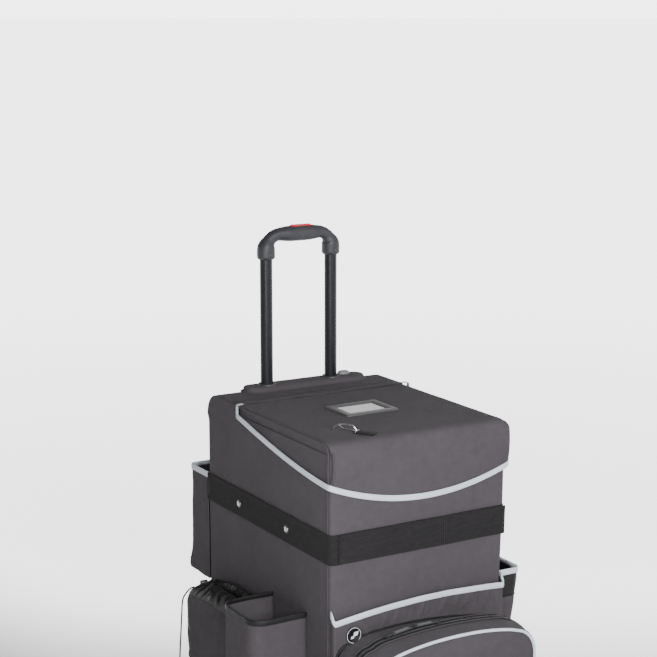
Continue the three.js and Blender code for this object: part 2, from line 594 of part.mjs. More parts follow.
const tyreProfile = (r, rim, w) => [[rim, -w], [r - 5, -w], [r, -w + 6], [r, w - 6], [r - 5, w], [rim, w]];
const hubProfile = (rim, bore, w) => [
  [bore, -w], [14, -w], [14, -6], [rim - 6, -6], [rim, -w + 2],
  [rim, w - 2], [rim - 6, 6], [14, 6], [14, w], [bore, w],
];
for (const [side, s] of bothSides) {
  const [x, half] = [s * REAR_WHEEL.x, REAR_WHEEL.width / 2];
  add(`rear_tyre_${side}`,
    turned(tyreProfile(REAR_WHEEL.r, 46, half), REAR_WHEEL.sides, x, REAR_WHEEL.y, rearAxleZ), tyreRubber());
  add(`rear_hub_${side}`,
    turned(hubProfile(45.5, AXLE_R + 0.5, half), REAR_WHEEL.sides, x, REAR_WHEEL.y, rearAxleZ),
    greyPlastic());
}

const casterAxleZ = flatRadius(CASTER.r, CASTER.sides);
const CROWN = { r: 20, top: 127, thick: 8 };
const FORK = { halfGap: CASTER.width / 2 + 1.5, leg: 3 };

const forkSolid = (x) => {
  const axleY = CASTER.y + CASTER.trail;
  const leg = new THREE.Shape();
  leg.moveTo(CASTER.y - 16, CROWN.top - CROWN.thick + 1);
  leg.lineTo(axleY - 9, casterAxleZ);
  leg.absarc(axleY, casterAxleZ, 9, Math.PI, 2 * Math.PI, false);
  leg.lineTo(CASTER.y + 18, CROWN.top - CROWN.thick + 1);
  const legs = bothSides.map(([, s]) => {
    const inner = x + s * FORK.halfGap;
    const [x0, x1] = [inner, inner + s * FORK.leg].sort((a, b) => a - b);
    return sideSolid(leg, x0, x1);
  });
  const reach = FORK.halfGap + FORK.leg + 2;
  return join(
    barZ(CROWN.r, x, CASTER.y, CROWN.top - CROWN.thick, CROWN.top, 24), ...legs,
    barX(CASTER.pinR, x - reach, x + reach, axleY, casterAxleZ, 16),
  );
};
const casterProfile = (() => {
  const [r, w] = [CASTER.r, CASTER.width / 2];
  return [
    [CASTER.pinR + 0.5, -w], [11, -w], [11, -w + 4], [34, -w + 4], [37, -w], [r - 4, -w], [r, -w + 5],
    [r, w - 5], [r - 4, w], [37, w], [34, w - 4], [11, w - 4], [11, w], [CASTER.pinR + 0.5, w],
  ];
})();
for (const [side, s] of bothSides) {
  const x = s * CASTER.x;
  add(`caster_plate_${side}`, join(
    block(x - 35, x + 35, CASTER.y - 30, CASTER.y + 30, TRAY.webBottom - 4, TRAY.webBottom - GAP),
    barZ(22, x, CASTER.y, CROWN.top + GAP, TRAY.webBottom - 3, 24),
  ), steel());
  add(`caster_fork_${side}`, forkSolid(x), steel());
  add(`caster_wheel_${side}`,
    turned(casterProfile, CASTER.sides, x, CASTER.y + CASTER.trail, casterAxleZ), tyreRubber());
}

// The origin is on the floor, under the middle of the cart's outline in plan.
const outline = new THREE.Box3().setFromObject(cart, true).getCenter(new THREE.Vector3());

// ---------------------------------------------------------------- drawcord

// The free end of the pouch's drawcord hangs from the collar, over the pouch's outer rear corner.
const cordRoute = [
  [-279.2, 237.2, 326], [-282.5, 239.2, 326], [-285.6, 241, 323.5], [-287.4, 242, 317], [-288.2, 242.5, 308],
  [-288.8, 242.9, 295], [-289.6, 243.4, 280], [-290.5, 244, 262], [-291.5, 244.6, 242], [-292.6, 245.3, 220],
  [-293.7, 246, 198], [-294.8, 246.7, 175], [-296, 247.4, 150], [-297.2, 248.1, 125], [-298.3, 248.8, 102],
  [-299.2, 249.4, 84],
];
const cordCurve = new THREE.CatmullRomCurve3(cordRoute.map((p) => new THREE.Vector3(...p)));
const [endX, endY, endZ] = cordRoute.at(-1);
add('drawcord', sweep(CORD_R, cordCurve, 30, 4), nylon());
add('cord_knot', new THREE.SphereGeometry(KNOT_R, 10, 8).rotateX(Math.PI / 2)
  .translate(endX, endY, endZ - GAP - KNOT_R), nylon());

cart.position.set(-outline.x, -outline.y, 0);

export default new THREE.Group().add(cart);
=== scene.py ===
"""Looks of a wheeled fabric service cart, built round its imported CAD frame."""

import json
import math

import bmesh
import bpy
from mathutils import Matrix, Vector, noise


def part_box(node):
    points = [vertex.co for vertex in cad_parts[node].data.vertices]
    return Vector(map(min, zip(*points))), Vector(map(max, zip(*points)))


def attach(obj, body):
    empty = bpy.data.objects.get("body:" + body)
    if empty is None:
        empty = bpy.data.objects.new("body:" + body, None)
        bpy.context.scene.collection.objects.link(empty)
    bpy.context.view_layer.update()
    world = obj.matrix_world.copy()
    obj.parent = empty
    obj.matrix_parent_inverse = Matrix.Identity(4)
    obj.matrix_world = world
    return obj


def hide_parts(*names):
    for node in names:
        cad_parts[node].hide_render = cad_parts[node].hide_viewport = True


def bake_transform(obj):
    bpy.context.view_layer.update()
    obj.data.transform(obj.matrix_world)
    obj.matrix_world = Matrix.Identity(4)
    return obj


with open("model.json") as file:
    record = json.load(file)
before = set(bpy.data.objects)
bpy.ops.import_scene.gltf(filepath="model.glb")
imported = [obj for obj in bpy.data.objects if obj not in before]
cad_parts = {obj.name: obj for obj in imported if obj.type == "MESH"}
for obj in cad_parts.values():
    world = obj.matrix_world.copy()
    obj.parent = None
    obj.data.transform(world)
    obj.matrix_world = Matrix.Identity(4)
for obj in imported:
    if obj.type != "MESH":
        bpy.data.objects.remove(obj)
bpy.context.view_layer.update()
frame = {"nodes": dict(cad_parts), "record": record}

# ------------------------------------------------------------------ places and sizes
# Shapes are drawn in millimetres about the middle of the bag, with Z = 0 on the floor.

MM = 0.001
lid_low, lid_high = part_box("lid_shell")
bag_low, bag_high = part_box("bag_shell")
ORIGIN = Vector(((bag_low.x + bag_high.x) / 2, lid_low.y, 0))
BODY_DEPTH = (bag_high.y - lid_low.y) / MM
ORIGIN.y += BODY_DEPTH / 2 * MM
FRONT = -BODY_DEPTH / 2
REAR = BODY_DEPTH / 2
TOP = lid_high.z / MM


def local_box(*nodes):
    """Lowest and highest corner of some CAD nodes, in millimetres about the middle of the bag."""
    boxes = [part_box(node) for node in nodes]
    low = Vector([min(b[0][i] for b in boxes) for i in range(3)])
    high = Vector([max(b[1][i] for b in boxes) for i in range(3)])
    return (low - ORIGIN) / MM, (high - ORIGIN) / MM


bag_a, bag_b = local_box("bag_shell")
HALF = bag_b.x
BAG_FRONT = bag_a.y
LID_LEFT = local_box("lid_shell")[0].x
LID_RIGHT, LID_REAR, _ = local_box("lid_shell")[1]
LID_RIGHT += 3                  # the lid's cloth stands a little further out than its CAD shell
MOUTH = TOP - 24
DECK_RADIUS = 50
LEAN, LEAN_FROM, LEAN_HEIGHT = 12, 270, 370
SIDES = (("left", -1), ("right", 1))


def at(x, y, z):
    """A point in local millimetres, in metres of the row frame."""
    return ORIGIN + Vector((x, y, z)) * MM


def local(co):
    """A point of a mesh, in local millimetres."""
    return (co - ORIGIN) / MM


def clamp(t):
    return min(1, max(0, t))


def lean(x, z):
    """The filled bag leans out over its base on the right: x of a point of its walls at a height."""
    rise = math.sin(clamp((z - LEAN_FROM) / LEAN_HEIGHT) * math.pi / 2)
    return x + LEAN * rise * clamp(x / HALF)


# ------------------------------------------------------------------ camera

AZIMUTH, ELEVATION = math.radians(-30.6), math.radians(10.86)
camera = bpy.data.objects.new("camera", bpy.data.cameras.new("camera"))
bpy.context.collection.objects.link(camera)
back = Vector((math.sin(AZIMUTH) * math.cos(ELEVATION), -math.cos(AZIMUTH) * math.cos(ELEVATION),
               math.sin(ELEVATION)))
camera.data.sensor_width = 36
camera.data.lens = 90.08
camera.location = at(-1795, -2946.3, TOP + 828.9)
camera.rotation_euler = back.to_track_quat("Z", "Y").to_euler()
camera.data.clip_end = 1000
bpy.context.scene.camera = camera

# ------------------------------------------------------------------ materials


def new_material(name, color, roughness, metallic=0.0, sheen=0.0, coat=0.0, gloss=0.5):
    material = bpy.data.materials.new(name)
    material.use_nodes = True
    shader = material.node_tree.nodes["Principled BSDF"]
    shader.inputs["Base Color"].default_value = (*color, 1)
    for socket, value in (("Roughness", roughness), ("Metallic", metallic), ("Sheen Weight", sheen),
                          ("Coat Weight", coat), ("Specular IOR Level", gloss)):
        shader.inputs[socket].default_value = value
    return material, Nodes(material.node_tree), shader


def shade(color, factor):
    return tuple(min(1.0, c * factor) for c in color)


class Nodes:
    """Small helper that adds and links shader nodes."""

    def __init__(self, tree):
        self.tree = tree

    def add(self, kind, **settings):
        node = self.tree.nodes.new(kind)
        for key, value in settings.items():
            setattr(node, key, value)
        return node

    def link(self, value, socket):
        self.tree.links.new(value, socket)

    def math(self, operation, *values):
        node = self.add("ShaderNodeMath", operation=operation)
        for socket, value in zip(node.inputs, values):
            if isinstance(value, (int, float)):
                socket.default_value = value
            else:
                self.link(value, socket)
        return node.outputs[0]

    def vary(self, value, amount, base):
        """base, plus amount times how far value is above its middle."""
        return self.math("MULTIPLY_ADD", self.math("SUBTRACT", value, 0.5), amount, base)

    def place(self):
        return self.add("ShaderNodeTexCoord").outputs["Object"]

    def noise(self, scale, detail=3.0, roughness=0.5, stretch=(1, 1, 1)):
        mapping = self.add("ShaderNodeMapping")
        mapping.inputs["Scale"].default_value = stretch
        self.link(self.place(), mapping.inputs["Vector"])
        node = self.add("ShaderNodeTexNoise")
        for socket, value in (("Scale", scale), ("Detail", detail), ("Roughness", roughness)):
            node.inputs[socket].default_value = value
        self.link(mapping.outputs[0], node.inputs["Vector"])
        return node.outputs[0]

    def tint(self, value, low, high, color, dark, light, shader):
        """Colours the shader between a dark and a light shade of one colour."""
        node = self.add("ShaderNodeValToRGB")
        for element, position, factor in zip(node.color_ramp.elements, (low, high), (dark, light)):
            element.position = position
            element.color = (*shade(color, factor), 1)
        self.link(value, node.inputs[0])
        self.link(node.outputs[0], shader.inputs["Base Color"])

    def bump(self, height, strength, distance, shader, under=None):
        node = self.add("ShaderNodeBump")
        node.inputs["Strength"].default_value = strength
        node.inputs["Distance"].default_value = distance
        self.link(height, node.inputs["Height"])
        if under is not None:
            self.link(under, node.inputs["Normal"])
        self.link(node.outputs[0], shader.inputs["Normal"])
        return node.outputs[0]

    def ramp(self, value, start, end, low=0.0, high=1.0):
        """A smooth step of value from low at start to high at end."""
        node = self.add("ShaderNodeMapRange", interpolation_type="SMOOTHSTEP")
        for socket, number in (("From Min", start), ("From Max", end), ("To Min", low), ("To Max", high)):
            node.inputs[socket].default_value = number
        self.link(value, node.inputs["Value"])
        return node.outputs["Result"]

    def weave(self, thread, cross=None):
        """Plain weave of threads this far apart, on whichever plane the surface faces."""
        coords = self.add("ShaderNodeTexCoord")
        place = self.add("ShaderNodeSeparateXYZ")
        facing = self.add("ShaderNodeSeparateXYZ")
        self.link(coords.outputs["Object"], place.inputs[0])
        self.link(coords.outputs["Normal"], facing.inputs[0])
        waves = [self.math("SINE", self.math("MULTIPLY", place.outputs[i], math.pi / step))
                 for i, step in enumerate((thread, thread, cross or thread))]
        total = None
        for i, (a, b) in enumerate(((1, 2), (0, 2), (0, 1))):
            weight = self.math("MULTIPLY", facing.outputs[i], facing.outputs[i])
            part = self.math("MULTIPLY", self.math("MULTIPLY", waves[a], waves[b]), weight)
            total = part if total is None else self.math("ADD", total, part)
        return total


def woven(name, color, thread=0.0011, contrast=0.3, mottle=0.10, relief=0.9, roughness=0.88, sheen=0.04,
          gloss=0.12):
    """Woven cloth: weave relief, darker gaps between threads and slow changes of shade."""
    material, nodes, shader = new_material(name, color, roughness, sheen=sheen, gloss=gloss)
    weave = nodes.weave(thread)
    mix = nodes.math("MULTIPLY_ADD", weave, contrast, 0.5)
    mix = nodes.vary(nodes.noise(480, 2), 0.6, mix)
    mix = nodes.vary(nodes.noise(55, 3, 0.6), 0.5, mix)
    mix = nodes.vary(nodes.noise(9, 4, 0.6), mottle * 6, mix)
    nodes.tint(mix, 0.0, 1.0, color, 0.72, 1.28, shader)
    under = nodes.bump(nodes.noise(38, 3, 0.55, (1, 1, 0.55)), 0.35, 0.0024, shader)
    nodes.bump(weave, relief, 0.00025, shader, under)
    return material


def piled(name, color):
    """Looped pile webbing: dense little loops, matt and very dark between them."""
    material, nodes, shader = new_material(name, color, 0.95, sheen=0.04, gloss=0.1)
    loops = nodes.noise(900, 2, 0.7)
    mix = nodes.vary(nodes.noise(60, 3, 0.6, (1, 1, 6)), 0.5, loops)
    nodes.tint(mix, 0.25, 0.75, color, 0.6, 1.5, shader)
    nodes.bump(loops, 0.7, 0.0006, shader)
    return material


def ribbed(name, color):
    """Grosgrain binding tape with fine ribs across it."""
    material, nodes, shader = new_material(name, color, 0.72, sheen=0.1, gloss=0.3)
    mix = nodes.vary(nodes.noise(14, 4, 0.6), 0.7, nodes.noise(500, 2))
    nodes.tint(mix, 0.2, 0.8, color, 0.86, 1.06, shader)
    nodes.bump(nodes.weave(0.0011, 0.0007), 0.5, 0.0004, shader)
    return material


def moulded(name, color, roughness=0.45, grain=0.35, wear=1.25, coat=0.0, gloss=0.5):
    """Moulded plastic with a fine spark-eroded grain and slight wear in its gloss."""
    material, nodes, shader = new_material(name, color, roughness, coat=coat, gloss=gloss)
    slow = nodes.noise(20, 4, 0.6)
    nodes.tint(slow, 0.3, 0.75, color, 0.9, wear, shader)
    nodes.link(nodes.vary(slow, 0.35, roughness), shader.inputs["Roughness"])
    nodes.bump(nodes.noise(1600, 2), grain, 0.00012, shader)
    return material


def metal(name, color, roughness=0.3, stretch=(1, 1, 0.03)):
    """Drawn or plated metal with faint lines along it."""
    material, nodes, shader = new_material(name, color, roughness, metallic=1.0)
    lines = nodes.noise(900, 3, 0.6, stretch)
    nodes.tint(nodes.noise(30, 4, 0.6), 0.3, 0.8, color, 0.82, 1.08, shader)
    nodes.link(nodes.vary(lines, 0.3, roughness), shader.inputs["Roughness"])
    nodes.bump(lines, 0.08, 0.0001, shader)
    return material


def enamel(name, color, roughness):
    """Black satin coat on metal: mostly dielectric, with faint scuffs in the gloss."""
    material, nodes, shader = new_material(name, color, roughness, metallic=0.15, coat=0.04, gloss=0.18)
    shader.inputs["Coat Roughness"].default_value = 0.25
    scuff = nodes.noise(160, 4, 0.7, (1, 1, 0.08))
    nodes.tint(scuff, 0.35, 0.8, color, 0.85, 1.5, shader)
    nodes.link(nodes.vary(scuff, 0.3, roughness), shader.inputs["Roughness"])
    nodes.bump(scuff, 0.05, 0.0001, shader)
    return material


GREY = (0.0555, 0.0495, 0.0560)
MATERIALS = {
    "body_fabric": woven("body_fabric", GREY),
    "pocket_fabric": woven("pocket_fabric", shade(GREY, 0.95), contrast=0.34),
    "black_nylon": woven("black_nylon", (0.0095, 0.009, 0.010), 0.0006, 0.2, 0.12, 0.4, 0.46, 0.02, 0.2),
    "webbing": piled("webbing", (0.0145, 0.0135, 0.0145)),
    "edge_tape": ribbed("edge_tape", (0.56, 0.61, 0.66)),
    "zip_tape": woven("zip_tape", (0.009, 0.009, 0.010), 0.0008, 0.3, 0.1, 0.8, 0.8, 0.02, 0.15),
    "zip_metal": enamel("zip_metal", (0.030, 0.030, 0.033), 0.35),
    "badge_rubber": moulded("badge_rubber", (0.008, 0.008, 0.009), 0.55, gloss=0.2),
    "board": moulded("board", (0.055, 0.050, 0.055), 0.8, 0.6),
    "black_plastic": moulded("black_plastic", (0.030, 0.031, 0.034), 0.5, 0.6),
    "grip_plastic": moulded("grip_plastic", (0.027, 0.028, 0.033), 0.5, 0.25, gloss=0.3),
    "grey_plastic": moulded("grey_plastic", (0.145, 0.142, 0.150), 0.38, 0.3),
    "red_plastic": moulded("red_plastic", (0.66, 0.022, 0.030), 0.35, 0.2, 1.1, coat=0.3),
    "black_tube": enamel("black_tube", (0.012, 0.013, 0.015), 0.36),
    "guide_tube": metal("guide_tube", (0.55, 0.55, 0.57), 0.3),
    "steel": metal("steel", (0.60, 0.60, 0.62), 0.28, (1, 1, 1)),
    "card": woven("card", (0.93, 0.93, 0.92), 0.0004, 0.02, 0.02, 0.1, 0.6, 0.0),
    "cord": woven("cord", (0.011, 0.011, 0.012), 0.0008, 0.4, 0.05, 0.9, 0.75, 0.03),
    "tyre": moulded("tyre", (0.045, 0.045, 0.047), 0.75, 0.8, 1.5),
}
INLAY = moulded("badge_inlay", (0.62, 0.63, 0.64), 0.5)
TAB_INLAY = moulded("tab_inlay", (0.115, 0.118, 0.125), 0.4)
LABEL_PLASTIC = moulded("label_plastic", (0.062, 0.062, 0.066), 0.42, 0.3)
# The coil teeth are coloured lighter than their black nylon really is, a painted glint along the zip.
ZIP_COIL_PAINTED_GLINT = moulded("zip_coil_painted_glint", (0.055, 0.055, 0.060), 0.3)
THREAD = moulded("thread", (0.020, 0.019, 0.021), 0.7)
PALE_THREAD = moulded("pale_thread", (0.48, 0.52, 0.56), 0.7)

node_slot = {part["node"]: part["material_slot"] for part in frame["record"]["subparts"]}
for node, obj in frame["nodes"].items():
    obj.data.materials.clear()
    obj.data.materials.append(MATERIALS[node_slot[node]])

# ------------------------------------------------------------------ mesh helpers


def new_object(name, verts, faces):
    """A mesh object from points in local millimetres."""
    mesh = bpy.data.meshes.new(name)
    mesh.from_pydata([at(*v) for v in verts], [], faces)
    mesh.update()
    obj = bpy.data.objects.new(name, mesh)
    bpy.context.collection.objects.link(obj)
    return obj


def piece(name, verts, faces, material, body="root", slot=None, replaces=(), smooth=True):
    """A visible object that rides on a body. A piece given no body is left unattached."""
    obj = new_object(name, verts, faces)
    mesh = obj.data
    bm = bmesh.new()
    bm.from_mesh(mesh)
    bmesh.ops.recalc_face_normals(bm, faces=bm.faces)
    bm.to_mesh(mesh)
    bm.free()
    mesh.materials.append(MATERIALS[material] if isinstance(material, str) else material)
    for polygon in mesh.polygons:
        polygon.use_smooth = smooth
    if body:
        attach(obj, body)
    if slot or isinstance(material, str):
        slot or material
    if replaces:
        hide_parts(*replaces)
    return obj


def loft(rows, cap_start=False, cap_end=False):
    """Quads between closed rows of points; a cap closes an end row onto its middle."""
    verts = [v for row in rows for v in row]
    count = len(rows[0])
    faces = []
    for r in range(len(rows) - 1):
        for c in range(count):
            d = (c + 1) % count
            faces.append((r * count + c, r * count + d, (r + 1) * count + d, (r + 1) * count + c))
    for wanted, start in ((cap_start, 0), (cap_end, (len(rows) - 1) * count)):
        if wanted:
            ring = verts[start:start + count]
            verts.append(tuple(sum(v[i] for v in ring) / count for i in range(3)))
            faces += [(start + c, start + (c + 1) % count, len(verts) - 1) for c in range(count)]
    return verts, faces


def capped(rows):
    return loft(rows, True, True)


def spaced(a, b, count):
    return [a + (b - a) * i / count for i in range(count + 1)]


def frames_along(points, normals=None):
    """Tangent, normal and side vectors at each point of a path."""
    result = []
    last = None
    for i, p in enumerate(points):
        ahead, behind = points[min(i + 1, len(points) - 1)], points[max(i - 1, 0)]
        tangent = (Vector(ahead) - Vector(behind)).normalized()
        if normals:
            normal = Vector(normals[i])
        elif last is None:
            normal = tangent.orthogonal()
        else:
            normal = last
        normal = (normal - tangent * normal.dot(tangent)).normalized()
        last = normal
        result.append((Vector(p), tangent, normal, tangent.cross(normal)))
    return result


def circle(p, n, b, radius, sides):
    """Points on a circle about p, in the plane of n and b."""
    return [tuple(p + (n * math.cos(t) + b * math.sin(t)) * radius)
            for t in (2 * math.pi * k / sides for k in range(sides))]


def tube_mesh(points, radius, sides=12):
    """Round bar along a path."""
    return capped([circle(p, n, b, radius, sides) for p, _, n, b in frames_along(points)])


def tape_mesh(points, normals, width, thick, across=3):
    """Flat tape that lies on a surface: its back on the path, its edges rounded."""
    half = width / 2
    section = [(-half, 0), (-half - 0.1, thick * 0.55), (-half + thick * 0.4, thick)]
    section += [(-half + width * k / across, thick * 1.04) for k in range(1, across)]
    section += [(half - thick * 0.4, thick), (half + 0.1, thick * 0.55), (half, 0)]
    return capped([[tuple(p + b * s + n * t) for s, t in section]
                   for p, _, n, b in frames_along(points, normals)])


def merge_meshes(parts):
    verts, faces = [], []
    for part_verts, part_faces in parts:
        base = len(verts)
        verts += part_verts
        faces += [tuple(base + k for k in f) for f in part_faces]
    return verts, faces


BLOCK_FACES = [(0, 1, 2, 3), (4, 5, 6, 7), (0, 1, 5, 4), (1, 2, 6, 5), (2, 3, 7, 6), (3, 0, 4, 7)]


def stitch_mesh(points, normals, offset, pitch=4.2, size=(2.6, 0.7, 0.45)):
    """A row of short thread stitches that follows a path, offset across it."""
    parts = []
    path = frames_along(points, normals)
    run = 0.0
    next_at = pitch / 2
    for (p, _, n, b), (q, *_rest) in zip(path, path[1:]):
        step = (q - p).length
        while step and next_at <= run + step:
            middle = p.lerp(q, (next_at - run) / step) + b * offset
            along = (q - p).normalized()
            l, w, h = (s / 2 for s in size)
            corners = [middle + along * (a * l) + b * (c * w) + n * (d * h * 2)
                       for d in (0, 1) for a, c in ((-1, -1), (1, -1), (1, 1), (-1, 1))]
            parts.append(([tuple(v) for v in corners], BLOCK_FACES))
            next_at += pitch
        run += step
    return merge_meshes(parts)


def turned_mesh(profile, centre, axis="x", sides=48):
    """A profile of (radius, along) points turned about an axis; it closes on itself."""
    rows = []
    cx, cy, cz = centre
    for k in range(sides):
        t = 2 * math.pi * k / sides
        c, s = math.cos(t), math.sin(t)
        place = {"x": lambda r, a: (cx + a, cy + r * c, cz + r * s),
                 "y": lambda r, a: (cx + r * c, cy + a, cz + r * s),
                 "z": lambda r, a: (cx + r * c, cy + r * s, cz + a)}[axis]
        rows.append([place(r, a) for r, a in profile])
    verts, faces = loft(rows)
    count = len(profile)
    last = (sides - 1) * count
    faces += [(last + c, last + (c + 1) % count, (c + 1) % count, c) for c in range(count)]
    return verts, faces


def box_mesh(low, high):
    corners = [(x, y, z) for z in (low[2], high[2]) for x, y in
               ((low[0], low[1]), (high[0], low[1]), (high[0], high[1]), (low[0], high[1]))]
    return corners, [(3, 2, 1, 0), *BLOCK_FACES[1:]]


def modifier(obj, kind, **settings):
    mod = obj.modifiers.new(kind.title(), kind)
    for key, value in settings.items():
        setattr(mod, key, value)
    return mod


def thicken(obj, thick):
    modifier(obj, "SOLIDIFY", thickness=thick * MM, offset=-1, use_even_offset=False)
    return obj


def bevelled(obj, width, segments=3):
    modifier(obj, "BEVEL", width=width * MM, segments=segments, limit_method="ANGLE",
             angle_limit=math.radians(35), harden_normals=False)
    modifier(obj, "WEIGHTED_NORMAL")
    return obj


def wave(p, scale, seed=0):
    """Smooth repeatable noise from -1 to 1 at a point in local millimetres."""
    return noise.noise(Vector(p) * scale + Vector((seed * 17.3, seed * 5.1, seed * 9.7)))


def corner_arc(cx, cy, r, start, end, count=5):
    return [(cx + r * math.cos(math.radians(t)), cy + r * math.sin(math.radians(t)))
            for t in spaced(start, end, count)]


def round_rect(x0, x1, y0, y1, r, count=4):
    """Points round a rectangle with round corners."""
    return [point for cx, cy, start in ((x1 - r, y1 - r, 0), (x0 + r, y1 - r, 90), (x0 + r, y0 + r, 180),
                                        (x1 - r, y0 + r, 270))
            for point in corner_arc(cx, cy, r, start, start + 90, count)]


def fill_line(a, b, step):
    count = max(1, round(math.dist(a, b) / step))
    return [tuple(a[i] + (b[i] - a[i]) * k / count for i in range(len(a))) for k in range(count + 1)]


def resample(path, step):
    out = []
    for a, b in zip(path, path[1:]):
        out += fill_line(a, b, step)[:-1] if math.dist(a, b) > 1e-6 else []
    return out + [path[-1]]


def plan_normals(path):
    """Outward normals, to the right-hand side of a plan path's travel."""
    normals = []
    for i in range(len(path)):
        a, b = path[max(i - 1, 0)], path[min(i + 1, len(path) - 1)]
        d = Vector((b[0] - a[0], b[1] - a[1])).normalized()
        normals.append((d.y, -d.x))
    return normals


# ------------------------------------------------------------------ soft box shells


def rounding(edge, inward, radius, count=4):
    """Grid lines that a corner of this radius needs, from its sharp edge inwards."""
    return [edge + inward * radius * (1 - math.tan(math.pi / 4 * k / count)) for k in range(count + 1)]


def ticks(must, step):
    """Sorted grid lines through every listed place, no further apart than step."""
    places = []
    for t in sorted(must):
        if not places or t - places[-1] > 1e-3:
            places.append(t)
    out = [places[0]]
    for a, b in zip(places, places[1:]):
        count = max(1, math.ceil((b - a) / step))
        out += [a + (b - a) * k / count for k in range(1, count + 1)]
    return out


def rounded(a, b, edge_a, in_a, edge_b, in_b, radius):
    """Moves a point of a sharp corner of a grid onto the round corner."""
    ca, cb = edge_a + in_a * radius, edge_b + in_b * radius
    da, db = a - ca, b - cb
    if da * in_a >= 0 or db * in_b >= 0:
        return a, b
    scale = max(abs(da), abs(db)) / math.hypot(da, db)
    return ca + da * scale, cb + db * scale


def grid_shell(xs, ys, zs, shape, keep):
    """The walls of a box drawn on a grid. shape places each grid point; keep picks the cells that exist."""
    verts, faces, index = [], [], {}

    def vertex(p):
        key = tuple(round(c, 4) for c in p)
        if key not in index:
            index[key] = len(verts)
            verts.append(shape(*p))
        return index[key]

    lines = (xs, ys, zs)
    for axis in range(3):
        a, b = [i for i in range(3) if i != axis]
        for end, side in ((0, -1), (-1, 1)):
            for i in range(len(lines[a]) - 1):
                for j in range(len(lines[b]) - 1):
                    corners = []
                    for u, v in ((i, j), (i + 1, j), (i + 1, j + 1), (i, j + 1)):
                        p = [0, 0, 0]
                        p[axis], p[a], p[b] = lines[axis][end], lines[a][u], lines[b][v]
                        corners.append(tuple(p))
                    middle = [sum(c[k] for c in corners) / 4 for k in range(3)]
                    if not keep("xyz"[axis], side, *middle):
                        continue
                    if (side > 0) == (axis == 1):
                        corners.reverse()
                    faces.append(tuple(vertex(c) for c in corners))
    return verts, faces


def without(*missing):
    """Keeps the cells of a grid shell on all of its faces but the listed (axis, side) ones."""
    return lambda axis, side, *middle: (axis, side) not in missing


def press(obj, amount):
    """Moves each point along its normal by amount(place), in millimetres."""
    mesh = obj.data
    moved = [v.co + v.normal * amount(local(v.co)) * MM for v in mesh.vertices]
    for v, co in zip(mesh.vertices, moved):
        v.co = co
    mesh.update()


def fold(p, a, b, width, height):
    """Height of a soft fold that runs from a to b, for a flat point (u, v)."""
    ax, ay = a
    dx, dy = b[0] - ax, b[1] - ay
    t = ((p[0] - ax) * dx + (p[1] - ay) * dy) / (dx * dx + dy * dy)
    clamped = clamp(t)
    away = math.hypot(p[0] - ax - dx * clamped, p[1] - ay - dy * clamped) / width
    return height * math.exp(-away * away) * (0.25 + 0.75 * math.sin(math.pi * clamped) ** 0.6)


# ------------------------------------------------------------------ bag

BAG_BOTTOM = bag_a.z
VERTICAL = 9
DECK_FRONT = LID_REAR + 0.5


def bag_shape(x, y, z):
    y, z = rounded(y, z, REAR, -1, TOP, -1, DECK_RADIUS)
    if y > DECK_FRONT:
        x, z = rounded(x, z, math.copysign(HALF, x), -math.copysign(1, x), TOP, -1, 5)
    edge = REAR if y > 0 else BAG_FRONT
    limit = REAR if z < TOP - DECK_RADIUS else 1000
    if y < 0 or limit < 1000:
        x, y = rounded(x, y, math.copysign(HALF, x), -math.copysign(1, x), edge, -math.copysign(1, y),
                       VERTICAL)
    return lean(x, z), y, z


def bag_keep(axis, side, x, y, z):
    if axis == "z" and side > 0:
        return y > DECK_FRONT
    return axis == "z" or y > DECK_FRONT or z < MOUTH


bag_xs = ticks(rounding(-HALF, 1, VERTICAL) + rounding(HALF, -1, VERTICAL) + rounding(HALF, -1, 5, 2) +
               rounding(-HALF, 1, 5, 2), 17)
bag_ys = ticks(rounding(BAG_FRONT, 1, VERTICAL) + rounding(REAR, -1, VERTICAL) +
               rounding(REAR, -1, DECK_RADIUS, 7) + [DECK_FRONT], 17)
bag_zs = ticks([BAG_BOTTOM, MOUTH] + rounding(TOP, -1, DECK_RADIUS, 7) + rounding(TOP, -1, 5, 2), 17)
bag = piece("bag_walls", *grid_shell(bag_xs, bag_ys, bag_zs, bag_shape, bag_keep), "body_fabric",
            replaces=["bag_shell"])


def bag_swell(p):
    """Cloth walls that are a little fuller between the seams and the webbing band."""
    if p.z > TOP - 60:
        return 0.25 * wave(p, 0.02, 3) - 0.25
    across = math.cos(p.x / HALF * math.pi / 2) if p.y < BAG_FRONT + 5 else math.cos(p.y / REAR * math.pi / 2)
    low = math.exp(-((p.z - BAG_BOTTOM) / 60) ** 2)
    return (0.6 * wave(p, 0.012, 1) + 0.3 * wave(p, 0.04, 2) - 0.8) * max(0, across) ** 0.5 - 0.4 * low


press(bag, bag_swell)
thicken(bag, 3)

# ------------------------------------------------------------------ seams, tapes and hems


def rounded_path(corners, radius, step=7):
    """A path through corners, each but the ends rounded to this radius."""
    out = [Vector(corners[0])]
    for before, corner, after in zip(corners, corners[1:], corners[2:]):
        c = Vector(corner)
        a, b = (Vector(before) - c).normalized(), (Vector(after) - c).normalized()
        half = a.angle(b) / 2
        centre = c + (a + b).normalized() * radius / math.sin(half)
        start, end = c + a * radius / math.tan(half) - centre, c + b * radius / math.tan(half) - centre
        out += [centre + start.lerp(end, k / 6).normalized() * radius for k in range(7)]
    out.append(Vector(corners[-1]))
    return resample([tuple(p) for p in out], step)


def hem(points, normals, section):
    """A closed section of (out, up) points drawn along a path with outward plan normals."""
    return capped([[(p[0] + n[0] * o, p[1] + n[1] * o, p[2] + u) for o, u in section]
                   for p, n in zip(points, normals)])


